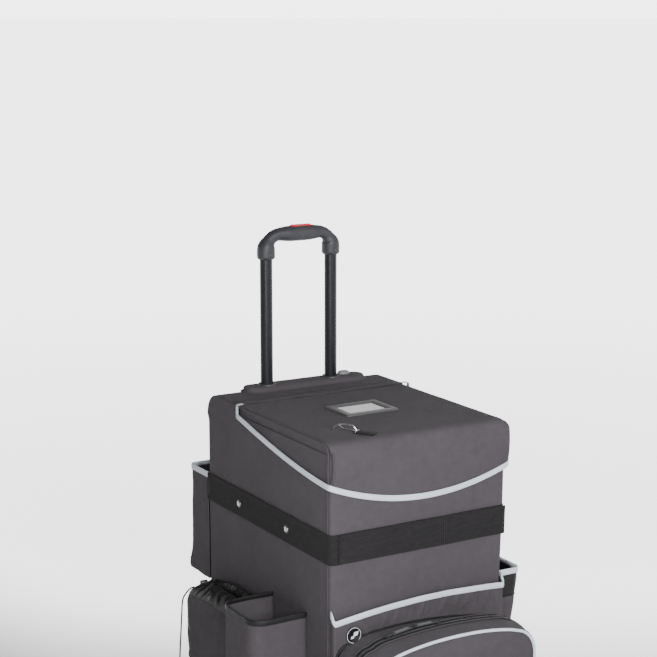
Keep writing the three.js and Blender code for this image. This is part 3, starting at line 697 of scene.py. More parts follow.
def hem_section(height, thick, wall, up=1):
    """Binding folded over an edge: up is 1 for a lower edge and -1 for an upper one."""
    t, w = thick, wall
    loop = [(0.1, height), (t * 0.7, height + 0.1), (t, height - 0.8), (t * 1.15, height / 2), (t, 0.6),
            (t * 0.5, -0.7), (-w / 2, -1.0), (-w - t * 0.5, -0.7), (-w - t, 0.6), (-w - t, height * 0.75),
            (-w - 0.1, height * 0.75), (-w - 0.1, 0.2), (0.1, 0.2)]
    return [(o, u * up) for o, u in loop]


def side_normal(sign, count):
    return [(sign, 0, 0)] * count


# Stitched seams down the front corners of the bag.
for side, sign in SIDES:
    seam = [(lean(sign * HALF, z) + sign * 0.1, BAG_FRONT + VERTICAL + 3, z)
            for z in spaced(BAG_BOTTOM + 4, MOUTH - 14, 60)]
    piece(f"bag_seam_{side}", *tube_mesh(seam, 1.1, 8), "body_fabric")

# ------------------------------------------------------------------ lid

lid_zs = local_box("lid_shell")[0].z
DIP_X = 20
CORNER_LEFT, CORNER_RIGHT, SKIRT_REAR = TOP - 93, TOP - 102.5, TOP - 29
LID_FRONT_R = 22
LID_SIDE_R = {-1: 4, 1: 26}
LID_CORNER_R = {-1: 7, 1: 13}
LID_BULGE = 6                     # of the right side, by its filling


def skirt_front(x):
    return lid_zs + (CORNER_LEFT - lid_zs) * ((x - DIP_X) / (LID_LEFT - DIP_X)) ** 2


def skirt_side(x, y):
    corner = CORNER_LEFT if x < 0 else CORNER_RIGHT
    return corner + (SKIRT_REAR - corner) * (max(0, y - FRONT) / (LID_REAR - FRONT)) ** 1.5


def lid_shape(x, y, v):
    """v runs from 0 at the skirt's edge to 1 below the rounded front edge, and on to 2 at the top."""
    sign = 1 if x > 0 else -1
    side = LID_RIGHT if x > 0 else LID_LEFT
    on_side = abs(x - side) < 1e-6
    low = skirt_side(x, y) if on_side and y > FRONT else skirt_front(x)
    shoulder = TOP - LID_FRONT_R
    z = low + (shoulder - low) * v if v < 1 else TOP - LID_FRONT_R * (2 - v)
    y, z = rounded(y, z, FRONT, 1, TOP, -1, LID_FRONT_R)
    x, z = rounded(x, z, side, -sign, TOP, -1, LID_SIDE_R[sign])
    x, y = rounded(x, y, side, -sign, FRONT, 1, LID_CORNER_R[sign])
    bulge = max(0, math.sin(math.pi * (z - low) / (TOP - low))) ** 0.7
    x += LID_BULGE * max(0, (x - 120) / (side - 120)) ** 2 * bulge
    return x, y, z


side_lines = []
for r in (LID_CORNER_R, LID_SIDE_R):
    side_lines += rounding(LID_LEFT, 1, r[-1]) + rounding(LID_RIGHT, -1, r[1])
lid_xs = ticks(side_lines, 14)
lid_ys = ticks(rounding(FRONT, 1, LID_FRONT_R, 6) + rounding(FRONT, 1, LID_CORNER_R[-1]) +
               rounding(FRONT, 1, LID_CORNER_R[1]) + [LID_REAR], 14)
lid_vs = ticks([0, 1] + rounding(2, -1, 1, 6) + rounding(2, -1, LID_SIDE_R[-1] / LID_FRONT_R, 3), 0.12)
lid = piece("lid_cover", *grid_shell(lid_xs, lid_ys, lid_vs, lid_shape, without(("z", -1), ("y", 1))),
            "body_fabric", "lid", replaces=["lid_shell"])
press(lid, lambda p: 0.35 * wave(p, 0.012, 5) + 0.25 * wave(p, 0.035, 6) - 0.45)
thicken(lid, 3)

# Welted seam of each side panel: along the top edge, round the front corner and down to the skirt.
for side, sign in SIDES:
    x = (LID_LEFT - 0.2) if sign < 0 else (LID_RIGHT + 0.2)
    low = (CORNER_LEFT if sign < 0 else CORNER_RIGHT) + 12
    r = LID_CORNER_R[sign] - 1
    top = TOP - LID_SIDE_R[sign] + 1
    route = rounded_path([(x, LID_REAR - 2, top), (x, FRONT + r, top), (x, FRONT + r, low)], 20, 6)
    piece(f"lid_welt_{side}", *tube_mesh(route, 1.3, 8), "body_fabric", "lid")
    piece(f"lid_seam_{side}", *stitch_mesh(route, side_normal(sign, len(route)), 3.4 * sign, 3.6,
                                           (2.2, 0.7, 0.3)), THREAD, "lid", "black_nylon")


def lid_outline(out):
    """Plan path round the lid's two sides and front."""
    left, right, front = LID_LEFT - out, LID_RIGHT + out, FRONT - out
    start = rounded_path([(left, LID_REAR - 2), (left, front), (0, front)], LID_CORNER_R[-1], 9)
    return start[:-1] + rounded_path([(0, front), (right, front), (right, LID_REAR - 2)], LID_CORNER_R[1], 9)


def skirt_on_path(x, y):
    """Height of the lid's lower edge at a place on its outline, turning smoothly at the corners."""
    r = LID_CORNER_R[1 if x > 0 else -1]
    share = clamp((y - FRONT) / r) if x < LID_LEFT + r or x > LID_RIGHT - r else 0
    return skirt_front(x) + (skirt_side(x, y) - skirt_front(x)) * share


path = lid_outline(0.4)
normals = plan_normals(path)
edge = [(x, y, skirt_on_path(x, y)) for x, y in path]
rear_tapes = []
for sign in (-1, 1):
    w = (LID_LEFT - 0.5) if sign < 0 else (LID_RIGHT + 0.5)
    rise = rounded_path([(w, LID_REAR - 5.5, SKIRT_REAR + 2), (w, LID_REAR - 5.5, TOP + 0.4),
                         (w - sign * 13, LID_REAR - 5.5, TOP + 0.4)], 5, 3)
    facing = [(sign, 0, 0) if p[2] < TOP - 5 else ((sign, 0, 1) if p[2] < TOP else (0, 0, 1)) for p in rise]
    rear_tapes.append(tape_mesh(rise, facing, 10.5, 1.1))
piece("lid_edge_tape", *merge_meshes([hem(edge, normals, hem_section(11.5, 1.2, 3.2)), *rear_tapes]),
      "edge_tape", "lid", replaces=["lid_binding"])
stitched = [(p[0] + n[0] * 1.5, p[1] + n[1] * 1.5, p[2] + 9.6) for p, n in zip(edge, normals)]
piece("lid_tape_stitches", *stitch_mesh(stitched, [(*n, 0) for n in normals], 0, 3.6, (2.3, 0.6, 0.25)),
      PALE_THREAD, "lid", "edge_tape")

# Label holder: a bevelled frame round a blank card.
frame_low, frame_high = local_box("label_frame")
card_low, card_high = local_box("label_card")


def plate_rings(edges):
    """Rings round a rectangle, one for each (low, high, grown by, z, corner radius)."""
    return [[(u, v, z) for u, v in round_rect(low.x - grow, high.x + grow, low.y - grow, high.y + grow, r)]
            for low, high, grow, z, r in edges]


base, crown = frame_low.z, frame_high.z
outer, inner = (frame_low, frame_high), (card_low, card_high)
rows = plate_rings([(*outer, 0, base, 5), (*outer, 0, base + 1, 5), (*outer, -1.2, crown - 0.2, 4),
                    (*outer, -2.4, crown, 4), (*inner, 8, crown, 4), (*inner, 6.5, crown - 0.7, 3),
                    (*inner, 1.2, crown - 1.1, 2), (*inner, 0.2, base + 0.9, 1), (*inner, 0.2, base, 1)])
rows.append(rows[0])
piece("label_holder", *loft(rows), LABEL_PLASTIC, "lid", "grey_plastic", replaces=["label_frame"])
bevelled(frame["nodes"]["label_card"], 0.2, 1)

# ------------------------------------------------------------------ hook on its webbing tab

HOOK_X, HOOK_Y, HOOK_TURN = -113, -214, 2.19


def on_hook(u, v, w):
    """A point along, across and above the hook's line, in local millimetres."""
    c, s = math.cos(HOOK_TURN), math.sin(HOOK_TURN)
    return HOOK_X + u * c - v * s, HOOK_Y + u * s + v * c, TOP + 0.3 + w


def smooth_curve(points, count=8):
    """Catmull-Rom curve through points."""
    out = []
    ends = [points[0]] + list(points) + [points[-1]]
    for a, b, c, d in zip(ends, ends[1:], ends[2:], ends[3:]):
        for k in range(count):
            t = k / count
            out.append(tuple(0.5 * (2 * q + (r - p) * t + (2 * p - 5 * q + 4 * r - s) * t * t +
                                    (3 * q - p - 3 * r + s) * t ** 3) for p, q, r, s in zip(a, b, c, d)))
    return out + [tuple(points[-1])]


hook_line = [(0, 0, 3), (3, 0, 8), (9, 0, 13.4), (22, 0, 14.2), (36, 0, 13.8), (45, 0, 9), (50, 0, 4.5),
             (52, 0, 2.6)]
gate_line = [(4, 0, 4), (16, 0, 5.2), (30, 0, 6.5), (38, 0, 11.5)]
hook_wire = tube_mesh([on_hook(*p) for p in smooth_curve(hook_line)], 1.5, 14)
hook_eye = tube_mesh([on_hook(0, v, 3) for v in spaced(-10, 10, 6)], 1.5, 14)
gate = tube_mesh([on_hook(*p) for p in smooth_curve(gate_line)], 0.8, 8)
piece("hook_wire", *merge_meshes([hook_wire, hook_eye, gate]), "steel", "hook", replaces=["lid_hook"])

tab_line = smooth_curve([(-41, 0, 0.2), (-30, 0, 0.6), (-14, 0, 1.0), (-6, 0, 2.4), (-3.0, 0, 3.4)], 5)
tab_top = smooth_curve([(-41, 0, 2.0), (-30, 0, 2.5), (-14, 0, 3.0), (-7, 0, 4.4), (-3.4, 0, 4.8)], 5)
rows = []
for (u0, _, w0), (u1, _, w1) in zip(tab_line, tab_top):
    section = [(u0, -12.6, w0), (u0, -13, (w0 + w1) / 2), (u1, -12, w1), (u1, 0, w1 + 0.15), (u1, 12, w1),
               (u0, 13, (w0 + w1) / 2), (u0, 12.6, w0), (u0, 0, w0)]
    rows.append([on_hook(*p) for p in section])
piece("hook_webbing", *capped(rows), "webbing", "lid", replaces=["hook_tab"])
box_line = resample([(-38, -9), (-38, 9), (-20, 9), (-20, -9), (-38, -9)], 2.5)
piece("hook_stitches", *stitch_mesh([on_hook(u, v, 2.6 + (u + 38) * 0.03) for u, v in box_line],
                                    [(0, 0, 1)] * len(box_line), 0, 2.6, (1.9, 0.6, 0.4)),
      THREAD, "lid", "black_nylon")

# ------------------------------------------------------------------ hinge

hinge_rows = []
for y in ticks([LID_REAR - 14, LID_REAR + 24], 3):
    raised = 0.5 + 1.3 * math.exp(-((y - LID_REAR) / 6) ** 2)
    xs = ticks([-HALF + 1, HALF - 1], 20)
    top = [(x, y, TOP + raised + 0.25 * wave((x, y, 0), 0.03, 8)) for x in xs]
    hinge_rows.append(top + [(x, y, TOP + 0.15) for x in reversed(xs)])
hinge = piece("hinge_fold", *capped(hinge_rows), "body_fabric", None, replaces=["hinge_strip"])
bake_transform(hinge)
for name, y, body in (("hinge_stitches_rear", LID_REAR + 20, "root"),
                      ("hinge_stitches_front", LID_REAR - 11, "lid")):
    line = [(x, y, TOP + 0.7) for x in spaced(-HALF + 4, HALF - 4, 60)]
    piece(name, *stitch_mesh(line, [(0, 0, 1)] * len(line), 0, 3.8, (2.4, 0.6, 0.4)), THREAD, body,
          "black_nylon")

# ------------------------------------------------------------------ webbing band

band_low, band_high = local_box("body_band")
front_low, front_high = local_box("front_band")
BAND_R = VERTICAL + 2


def strip_on_plan(path, low, high, thick, seed):
    """A webbing strip round a plan path, with slightly uneven edges and thicker selvedges."""
    normals = plan_normals(path)
    height = high - low
    rows = []
    for (x, y), n in zip(path, normals):
        dip = 0.5 * wave((x, y, 0), 0.02, seed)
        section = [(0.05, 0.3), (thick * 0.8, 0), (thick * 1.1, 2.0), (thick * 0.9, 4.5)]
        section += [(thick * (0.92 + 0.06 * math.sin(k * 1.7 + x * 0.05)), 4.5 + (height - 9) * k / 6)
                    for k in range(1, 6)]
        section += [(thick * 0.9, height - 4.5), (thick * 1.1, height - 2.0), (thick * 0.8, height),
                    (0.05, height - 0.3)]
        rows.append([(lean(x, low + u) + n[0] * o, y + n[1] * o, low + u + dip) for o, u in section])
    return capped(rows)


w, f = HALF + 0.3, BAG_FRONT - 0.3
band_path = rounded_path([(-w, REAR - 1), (-w, f), (w, f), (w, REAR - 1)], BAND_R, 9)
piece("band_webbing", *strip_on_plan(band_path, band_low.z, band_high.z, 2, 11), "webbing",
      replaces=["body_band"])
g = front_high.y
front_path = resample([(front_low.x + 2, g), (front_high.x - 12, g), (front_high.x - 2, g)], 9)
piece("front_webbing", *strip_on_plan(front_path, front_low.z, front_high.z, 2, 12), "webbing",
      replaces=["front_band"])
roll = [(front_low.x + 2.2, g - 1.4, z) for z in spaced(front_low.z + 0.5, front_high.z - 0.5, 12)]
piece("front_webbing_roll", *tube_mesh(roll, 1.9, 12), "webbing")

# Stitch rows across the webbing: two on the front strip's overlap, three on each side.
OVERLAP_X = 60
STITCH = (3.4, (2.3, 0.7, 0.4))
line = [(lean(OVERLAP_X, z), g - 2.2, z) for z in spaced(front_low.z + 3, front_high.z - 3, 24)]
band_marks = [stitch_mesh(line, [(0, -1, 0)] * len(line), offset, *STITCH) for offset in (0, 5)]
for sign in (-1, 1):
    for y in (81, -62, -155):
        line = [(lean(sign * w, z) + sign * 2.1, y, z) for z in spaced(band_low.z + 3, band_high.z - 3, 24)]
        band_marks.append(stitch_mesh(line, side_normal(sign, len(line)), 0, *STITCH))
piece("band_stitches", *merge_meshes(band_marks), THREAD, "root", "black_nylon")

for name in ("snap_rear", "snap_front"):
    low, high = local_box(name)
    middle = (low + high) / 2
    cap = [(0.01, -2.1), (3.0, -2.0), (5.0, -1.6), (6.2, -0.9), (6.8, 0.2), (7.2, 0.9), (0.01, 0.9)]
    piece(f"{name}_cap", *turned_mesh(cap, (middle.x, middle.y, middle.z), "x", 36), "steel", replaces=[name])
    ring = [(7.0, -0.1), (8.6, 0.0), (9.4, 0.6), (9.4, 1.3), (7.0, 1.3)]
    piece(f"{name}_washer", *turned_mesh(ring, (middle.x, middle.y, middle.z), "x", 36), "black_plastic")

# ------------------------------------------------------------------ handle

tube_low, tube_high = local_box("inner_tube_left")
POLE_X = -(tube_low.x + tube_high.x) / 2
POLE_Y = (tube_low.y + tube_high.y) / 2
POLE_R = (tube_high.y - tube_low.y) / 2
grip_low = local_box("grip")[0]
BAR_Z = TOP + 348
GRIP_POWER = 0.86                # below 1 makes the grip's section squarer than an ellipse

arch = rounded_path([(-POLE_X, POLE_Y, grip_low.z), (-POLE_X, POLE_Y, BAR_Z), (POLE_X, POLE_Y, BAR_Z),
                     (POLE_X, POLE_Y, grip_low.z)], 34, 3)
rows = []
total = sum(math.dist(a, b) for a, b in zip(arch, arch[1:]))
run = 0.0
for i, (p, tangent, _, _) in enumerate(frames_along(arch)):
    run += math.dist(arch[i - 1], arch[i]) if i else 0
    from_end = min(run, total - run)
    across = Vector((0, 1, 0))
    out = tangent.cross(across)
    socket = 1 / (1 + math.exp((from_end - 34) / 3.5))
    palm = math.exp(-((run - total / 2) / 46) ** 4)
    wide = 13.6 + 5.9 * socket + 3.4 * palm
    deep = 13.2 + 6.3 * socket + 4.3 * palm
    if from_end < 3:
        wide, deep = wide - (3 - from_end) * 0.7, deep - (3 - from_end) * 0.7
    ring = []
    for k in range(32):
        t = 2 * math.pi * k / 32
        c, q = math.cos(t), math.sin(t)
        ring.append(tuple(p + out * deep * math.copysign(abs(c) ** GRIP_POWER, c) +
                          across * wide * math.copysign(abs(q) ** GRIP_POWER, q)))
    rows.append(ring)
grip = piece("grip_body", *capped(rows), "grip_plastic", "handle", replaces=["grip"])

button_low, button_high = local_box("release_button")
slot_low = (button_low.x - 1.4, button_low.y - 1.2, button_low.z - 6)
slot_high = (button_high.x + 1.4, button_high.y + 1.2, button_high.z + 20)
cutter = piece("slot_cutter", *box_mesh(slot_low, slot_high), "grip_plastic", "handle")
modifier(grip, "BOOLEAN", operation="DIFFERENCE", object=cutter, solver="EXACT")
bpy.context.view_layer.update()
graph = bpy.context.evaluated_depsgraph_get()
carved = bpy.data.meshes.new_from_object(grip.evaluated_get(graph))
grip.modifiers.clear()
grip.data = carved
bpy.data.objects.remove(cutter)
for polygon in carved.polygons:
    polygon.use_smooth = True
modifier(grip, "WEIGHTED_NORMAL")

cap_rows = []
bx0, bx1, by0, by1 = button_low.x, button_high.x, button_low.y, button_high.y
for z, inset, r in ((button_low.z, 0, 4.5), (button_high.z - 5, 0, 4.5), (button_high.z - 2.2, 0.5, 4.5),
                    (button_high.z - 0.8, 1.8, 4), (button_high.z, 4.0, 2.4)):
    ring = round_rect(bx0 + inset, bx1 - inset, by0 + inset, by1 - inset, r, 5)
    crown = 1.4 if z > button_high.z - 3 else 0
    cap_rows.append([(u, v, z + crown * (1 - ((u - (bx0 + bx1) / 2) / (bx1 - bx0) * 2) ** 2))
                     for u, v in ring])
piece("button_cap", *capped(cap_rows), "red_plastic", "button", replaces=["release_button"])

for side, sign in SIDES:
    tube = [(POLE_R, tube_low.z), (POLE_R, tube_high.z), (POLE_R - 2.4, tube_high.z),
            (POLE_R - 2.4, tube_low.z)]
    bevelled(piece(f"pull_tube_{side}", *turned_mesh(tube, (sign * POLE_X, POLE_Y, 0), "z"), "black_tube",
                   "handle", replaces=[f"inner_tube_{side}"]), 0.3, 1)
    lip = [(POLE_R + 0.4, grip_low.z - 0.1), (POLE_R + 3.4, grip_low.z - 0.9), (POLE_R + 4.2, grip_low.z + 0.4),
           (POLE_R + 3.8, grip_low.z + 2.2), (POLE_R + 0.4, grip_low.z + 2.2)]
    piece(f"grip_lip_{side}", *turned_mesh(lip, (sign * POLE_X, POLE_Y, 0), "z", 40), "grip_plastic",
          "handle")
    screw = [(0.01, -0.2), (1.5, -0.3), (2.4, -0.7), (2.7, -1.3), (3.6, -1.6), (3.9, -0.6), (3.9, 1.5),
             (0.01, 1.5)]
    piece(f"grip_screw_{side}", *turned_mesh(screw, (sign * POLE_X, POLE_Y - 19.3, grip_low.z + 11), "y", 24),
          "black_plastic", "handle")
    piece(f"grip_seam_{side}", *turned_mesh([(19.2, -0.5), (19.75, -0.5), (19.75, 0.5), (19.2, 0.5)],
                                            (sign * POLE_X, POLE_Y, grip_low.z + 22), "z", 40),
          "black_plastic", "handle")

# ------------------------------------------------------------------ ridge at the foot of the poles

ridge_low, ridge_high = local_box("handle_housing")
ridge_rows = []
for inset, up in ((-6, 0.2), (-2, 1.2), (1.5, 5), (4, 9), (7, 11), (12, 12), (20, 12.2)):
    r = (ridge_high.y - ridge_low.y) / 2 - inset
    x0, x1 = ridge_low.x + 28 - max(0, inset) * 0.8, ridge_high.x - 28 + max(0, inset) * 0.3
    ring = corner_arc(x1, POLE_Y, r, -90, 90, 14) + corner_arc(x0, POLE_Y, r, 90, 270, 14)
    ridge_rows.append([(u, v, TOP + max(0.1, up + 0.5 * wave((u, v, 0), 0.03, 21) * min(1, up / 4)))
                       for u, v in resample(ring + ring[:1], 9)[:-1]])
piece("ridge_cover", *loft(ridge_rows, False, True), "body_fabric", replaces=["handle_housing"])
for side, sign in SIDES:
    sleeve = [(POLE_R + 0.5, 0), (POLE_R + 6, 0), (POLE_R + 6, 13.0), (POLE_R + 5, 14.4), (POLE_R + 1.6, 14.6),
              (POLE_R + 0.5, 13.6)]
    piece(f"pole_sleeve_{side}", *turned_mesh(sleeve, (sign * POLE_X, POLE_Y, TOP), "z", 40), "black_plastic")
cap = [(0.01, 0), (15, 0), (15, 5), (13.5, 8), (10, 9.6), (0.01, 10.2)]
knob = piece("ridge_cap", *turned_mesh(cap, (0, 0, 0), "z", 36), "grey_plastic")
for v in knob.data.vertices:
    p = local(v.co)
    v.co = at(121 + p.x, POLE_Y + 6 + p.y * 0.75, TOP + 11 + p.z * 0.85)

# ------------------------------------------------------------------ document pocket

doc_low, doc_high = local_box("document_pocket")
DOC_RIM, DOC_TILT, DOC_RISE, DOC_CLIMB = TOP - 358, 4.5, 12.5, 20


def doc_rim(x, y):
    """Height of the rim, which climbs back to the bag at both ends."""
    x = max(-HALF, min(HALF, x))
    climb = clamp((y - doc_low.y) / (BAG_FRONT - doc_low.y))
    return DOC_RIM + DOC_TILT * x / HALF + DOC_RISE * math.cos(x / 210 * math.pi / 2) + DOC_CLIMB * climb


def doc_shape(x, y, v):
    z = doc_low.z + (doc_rim(x, y) - doc_low.z) * v
    sign = math.copysign(1, x)
    x, y = rounded(x, y, sign * HALF, -sign, doc_low.y, 1, 6)
    return lean(x, z), y, z


doc_xs = ticks(rounding(-HALF, 1, 6, 3) + rounding(HALF, -1, 6, 3), 2.5)
doc_ys = ticks([doc_low.y, doc_high.y] + rounding(doc_low.y, 1, 6, 3), 4)
doc = piece("document_pocket_cloth",
            *grid_shell(doc_xs, doc_ys, ticks([0, 1], 0.014), doc_shape, without(("z", 1), ("y", 1))),
            "pocket_fabric", replaces=["document_pocket"])
DOC_FOLDS = [((-150, 374), (-124, 330), 5, 4.2), ((-116, 378), (-104, 338), 4.5, 3.4),
             ((-88, 380), (-86, 350), 5, 3.0), ((-52, 384), (-64, 350), 4.6, 3.4),
             ((-22, 386), (-32, 352), 4.2, -2.6), ((10, 388), (-4, 350), 5, 4.4),
             ((34, 388), (24, 350), 4.2, -2.8), ((62, 386), (44, 348), 5.5, 4.2),
             ((92, 384), (82, 350), 4.4, 3.4), ((120, 382), (110, 350), 5, 3.8),
             ((150, 380), (148, 346), 4.6, -2.8), ((168, 378), (160, 342), 4.4, 4.4),
             ((186, 374), (192, 334), 5, 3.6), ((-185, 368), (-174, 320), 6, 3.0)]


def doc_swell(p):
    """Folds in the pocket's front, fading out below its rim."""
    if p.y < doc_low.y + 4:
        folds = 1.1 * sum(fold((p.x, p.z), *f) for f in DOC_FOLDS)
        height = folds + 1.6 * wave(p, 0.022, 31) + 0.6 * wave(p, 0.09, 32)
    else:
        height = 0.3 * wave(p, 0.05, 33)
    return height * clamp((doc_rim(p.x, p.y) - p.z - 8) / 12)


press(doc, doc_swell)
thicken(doc, 1.4)

w = HALF + 0.3
f = doc_low.y - 0.4
doc_path = rounded_path([(-w, BAG_FRONT - 1.0), (-w, f), (w, f), (w, BAG_FRONT - 1.0)], 6, 7)
doc_normals = plan_normals(doc_path)
doc_edge = [(lean(x, DOC_RIM), y, doc_rim(x, y) + 0.6 * wave((x, y, 0), 0.02, 34))
            for x, y in doc_path]
piece("document_edge_tape", *hem(doc_edge, doc_normals, hem_section(11, 1.3, 1.5, -1)), "edge_tape",
      replaces=["document_binding"])
line = [(p[0] + n[0] * 1.6, p[1] + n[1] * 1.6, p[2] - 9.4) for p, n in zip(doc_edge, doc_normals)]
piece("document_tape_stitches", *stitch_mesh(line, [(*n, 0) for n in doc_normals], 0, 3.6, (2.3, 0.6, 0.25)),
      PALE_THREAD, "root", "edge_tape")


def badge(name, centre, axis):
    """Round rubber badge with a raised rim and two plain slanted tablets on it."""
    outward, lateral = {"y": (Vector((0, -1, 0)), Vector((1, 0, 0))),
                        "x": (Vector((-1, 0, 0)), Vector((0, -1, 0)))}[axis]
    disc = [(0.01, 0), (17.0, 0), (17.2, -1.0), (16.4, -1.7), (15.2, -1.6), (14.8, -1.1), (0.01, -1.1)]
    piece(f"{name}_disc", *turned_mesh(disc, centre, axis), "badge_rubber", replaces=[name])
    tablets = []
    for corner, size in ((Vector((-7.5, -7)), Vector((6.5, 6))), (Vector((-1.5, -2)), Vector((9.5, 9.5)))):
        foot, top = [], []
        for u, v in ((0, 0), (1, 0.12), (1, 1), (0, 0.88)):
            flat = corner + Vector((u * size.x + v * 2.2, v * size.y))
            p = Vector(centre) + lateral * flat.x + Vector((0, 0, flat.y))
            foot.append(tuple(p + outward * 0.9))
            top.append(tuple(p + outward * 1.9))
        tablets.append((foot + top, BLOCK_FACES))
    piece(f"{name}_mark", *merge_meshes(tablets), INLAY, "root", "grey_plastic", smooth=False)
    rim = [(15.3, -1.55), (16.3, -1.65), (16.3, -1.85), (15.3, -1.8)]
    piece(f"{name}_ring", *turned_mesh(rim, centre, axis), INLAY, "root", "grey_plastic")


low, high = local_box("document_badge")
badge("document_badge", ((low.x + high.x) / 2, high.y - 2.2, (low.z + high.z) / 2), "y")
low, high = local_box("pouch_badge")
badge("pouch_badge", (high.x - 0.2, (low.y + high.y) / 2, (low.z + high.z) / 2), "x")

# ------------------------------------------------------------------ swelling of soft pockets


def closed_mesh(name, verts, faces, voxel):
    """A mesh object in local millimetres, remeshed into even cells."""
    obj = new_object(name, verts, faces)
    remesh = modifier(obj, "REMESH", mode="VOXEL", voxel_size=voxel * MM)
    bpy.context.view_layer.update()
    even = bpy.data.meshes.new_from_object(obj.evaluated_get(bpy.context.evaluated_depsgraph_get()))
    obj.modifiers.remove(remesh)
    obj.data = even
    return obj


def swell(obj, held, cap, pressure=4.0, frames=20):
    """Cloth simulation under pressure: held places stay, and no other moves further than cap."""
    start = [v.co.copy() for v in obj.data.vertices]
    group = obj.vertex_groups.new(name="held")
    for v in obj.data.vertices:
        share = held(local(v.co))
        if share > 0:
            group.add([v.index], min(1, share), "REPLACE")
    cloth = modifier(obj, "CLOTH")
    settings = cloth.settings
    settings.use_pressure = True
    settings.uniform_pressure_force = pressure
    settings.vertex_group_mass = "held"
    settings.effector_weights.gravity = 0
    settings.quality = 5
    settings.tension_stiffness = settings.compression_stiffness = 12
    settings.bending_stiffness = 0.8
    cloth.point_cache.frame_start, cloth.point_cache.frame_end = 1, frames
    scene = bpy.context.scene
    for frame_number in range(1, frames + 1):
        scene.frame_set(frame_number)
    ended = obj.evaluated_get(bpy.context.evaluated_depsgraph_get()).data
    moved = [v.co.copy() for v in ended.vertices]
    obj.modifiers.remove(cloth)
    scene.frame_set(1)
    for v, a, b in zip(obj.data.vertices, start, moved):
        reach = (b - a).length
        limit = cap * MM
        v.co = a + (b - a) * (limit * math.tanh(reach / limit) / reach if reach > 1e-9 else 0)
    obj.vertex_groups.remove(group)
    obj.data.update()


def finish_soft(obj, slot_name, replaces):
    obj.data.materials.clear()
    obj.data.materials.append(MATERIALS[slot_name])
    for polygon in obj.data.polygons:
        polygon.use_smooth = True
    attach(obj, "root")
    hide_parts(*replaces)
    modifier(obj, "SUBSURF", levels=1, render_levels=1)


# ------------------------------------------------------------------ zip pocket

zip_low, zip_high = local_box("zip_pocket")
SHOULDER_X, SHOULDER_Z, ARCH_Z, ARCH = 165, 288, TOP - 382, 13
ARCH_R = (SHOULDER_X ** 2 + ARCH ** 2) / (2 * ARCH)
ARCH_C = ARCH_Z - ARCH_R
CHAIN_Y = -354


def arch_z(x, off=0.0):
    """Height of the zip's line, which dips a little more just before its two ends."""
    dip = 6 * max(0, (abs(x) - 135) / 30) ** 2
    return ARCH_C + math.sqrt((ARCH_R + off) ** 2 - x * x) - min(dip, 8)


def zip_side(y):
    """Half width of the pocket, which narrows a little towards its front panel."""
    return HALF - 8 * ((zip_high.y - y) / (zip_high.y - zip_low.y)) ** 1.5


def zip_top(x, y, inset=0.0):
    """Upper outline of the pocket: arched along the zip, falling to its seams and its sides."""
    side = zip_side(y) - inset
    ahead = clamp((CHAIN_Y - y) / (CHAIN_Y - zip_low.y))
    behind = clamp((y - CHAIN_Y) / (zip_high.y - CHAIN_Y))
    a = min(abs(x), side)
    share = (a / side) ** 3
    fall = (14 + 9 * x / HALF + 4 * share) * behind ** 1.5 + (3 + 12 * share) * ahead ** 2
    shoulder = SHOULDER_X - 17 * ahead
    if a <= shoulder:
        return arch_z(a, -inset) - fall
    t = 1 - math.sqrt((side - a) / (side - shoulder))
    z0 = arch_z(shoulder, -inset)
    return z0 * (1 - t) ** 2 + (z0 - 4) * 2 * t * (1 - t) + SHOULDER_Z * t * t - fall


def zip_shape(x, y, v, inset=1.2):
    front = zip_low.y + inset
    side = zip_side(y) - inset
    x *= side / inner_half
    z = zip_low.z + inset + (zip_top(x, y, inset) - zip_low.z - inset) * v
    sign = math.copysign(1, x)
    x, y = rounded(x, y, sign * side, -sign, front, 1, 5)
    y, z = rounded(y, z, front, 1, zip_top(x, y, inset), -1, 5)
    return x, y, z


inner_half = HALF - 1.2
edge_xs = [s * (inner_half - (inner_half - SHOULDER_X) * (1 - k / 7) ** 2) for k in range(8) for s in (-1, 1)]
zip_mesh = grid_shell(ticks(edge_xs + rounding(-inner_half, 1, 5) + rounding(inner_half, -1, 5), 9),
                      ticks([zip_low.y + 1.2, zip_high.y - 1] + rounding(zip_low.y + 1.2, 1, 5), 9),
                      ticks([0, 0.97, 1], 0.05), zip_shape, without())
zip_bag = closed_mesh("zip_pocket_cloth", *zip_mesh, 5)


def zip_held(p):
    """The back, the seam under the piping and the tape beside the zip chain keep their place."""
    if p.y > zip_high.y - 5:
        return 1
    near_edge = min(zip_top(p.x, p.y) - p.z, zip_side(p.y) - abs(p.x), p.z - zip_low.z)
    at_piping = p.y < zip_low.y + 9 and near_edge < 8
    at_chain = abs(p.y - CHAIN_Y) < 15 and p.z > SHOULDER_Z and near_edge < 6
    return 1 if at_piping or at_chain else 0


swell(zip_bag, zip_held, 9, 3.0)
def zip_swell(p):
    """Uneven fill, with soft folds in the front panel and on the gusset."""
    if zip_held(p):
        return 0
    if p.y < zip_low.y + 5:
        folds = (fold((p.x, p.z), (-60, 300), (-150, 200), 14, -1.2) +
                 fold((p.x, p.z), (90, 310), (30, 200), 16, -1.2))
    else:
        folds = (fold((p.x, p.y), (60, -380), (110, -398), 7, 1.6) +
                 fold((p.x, p.y), (-70, -386), (-20, -400), 7, 1.4))
    return 1.0 * wave(p, 0.02, 41) + 0.4 * wave(p, 0.06, 42) + folds


press(zip_bag, zip_swell)

# The groove that the zip's tape lies in.
for v in zip_bag.data.vertices:
    p = local(v.co)
    bed = zip_top(p.x, CHAIN_Y) - 2.5
    if p.x < SHOULDER_X + 6 and p.z > bed - 8:
        v.co.z -= max(0, p.z - bed) * MM * math.exp(-((p.y - CHAIN_Y) / 15.5) ** 8)
finish_soft(zip_bag, "pocket_fabric", ["zip_pocket"])

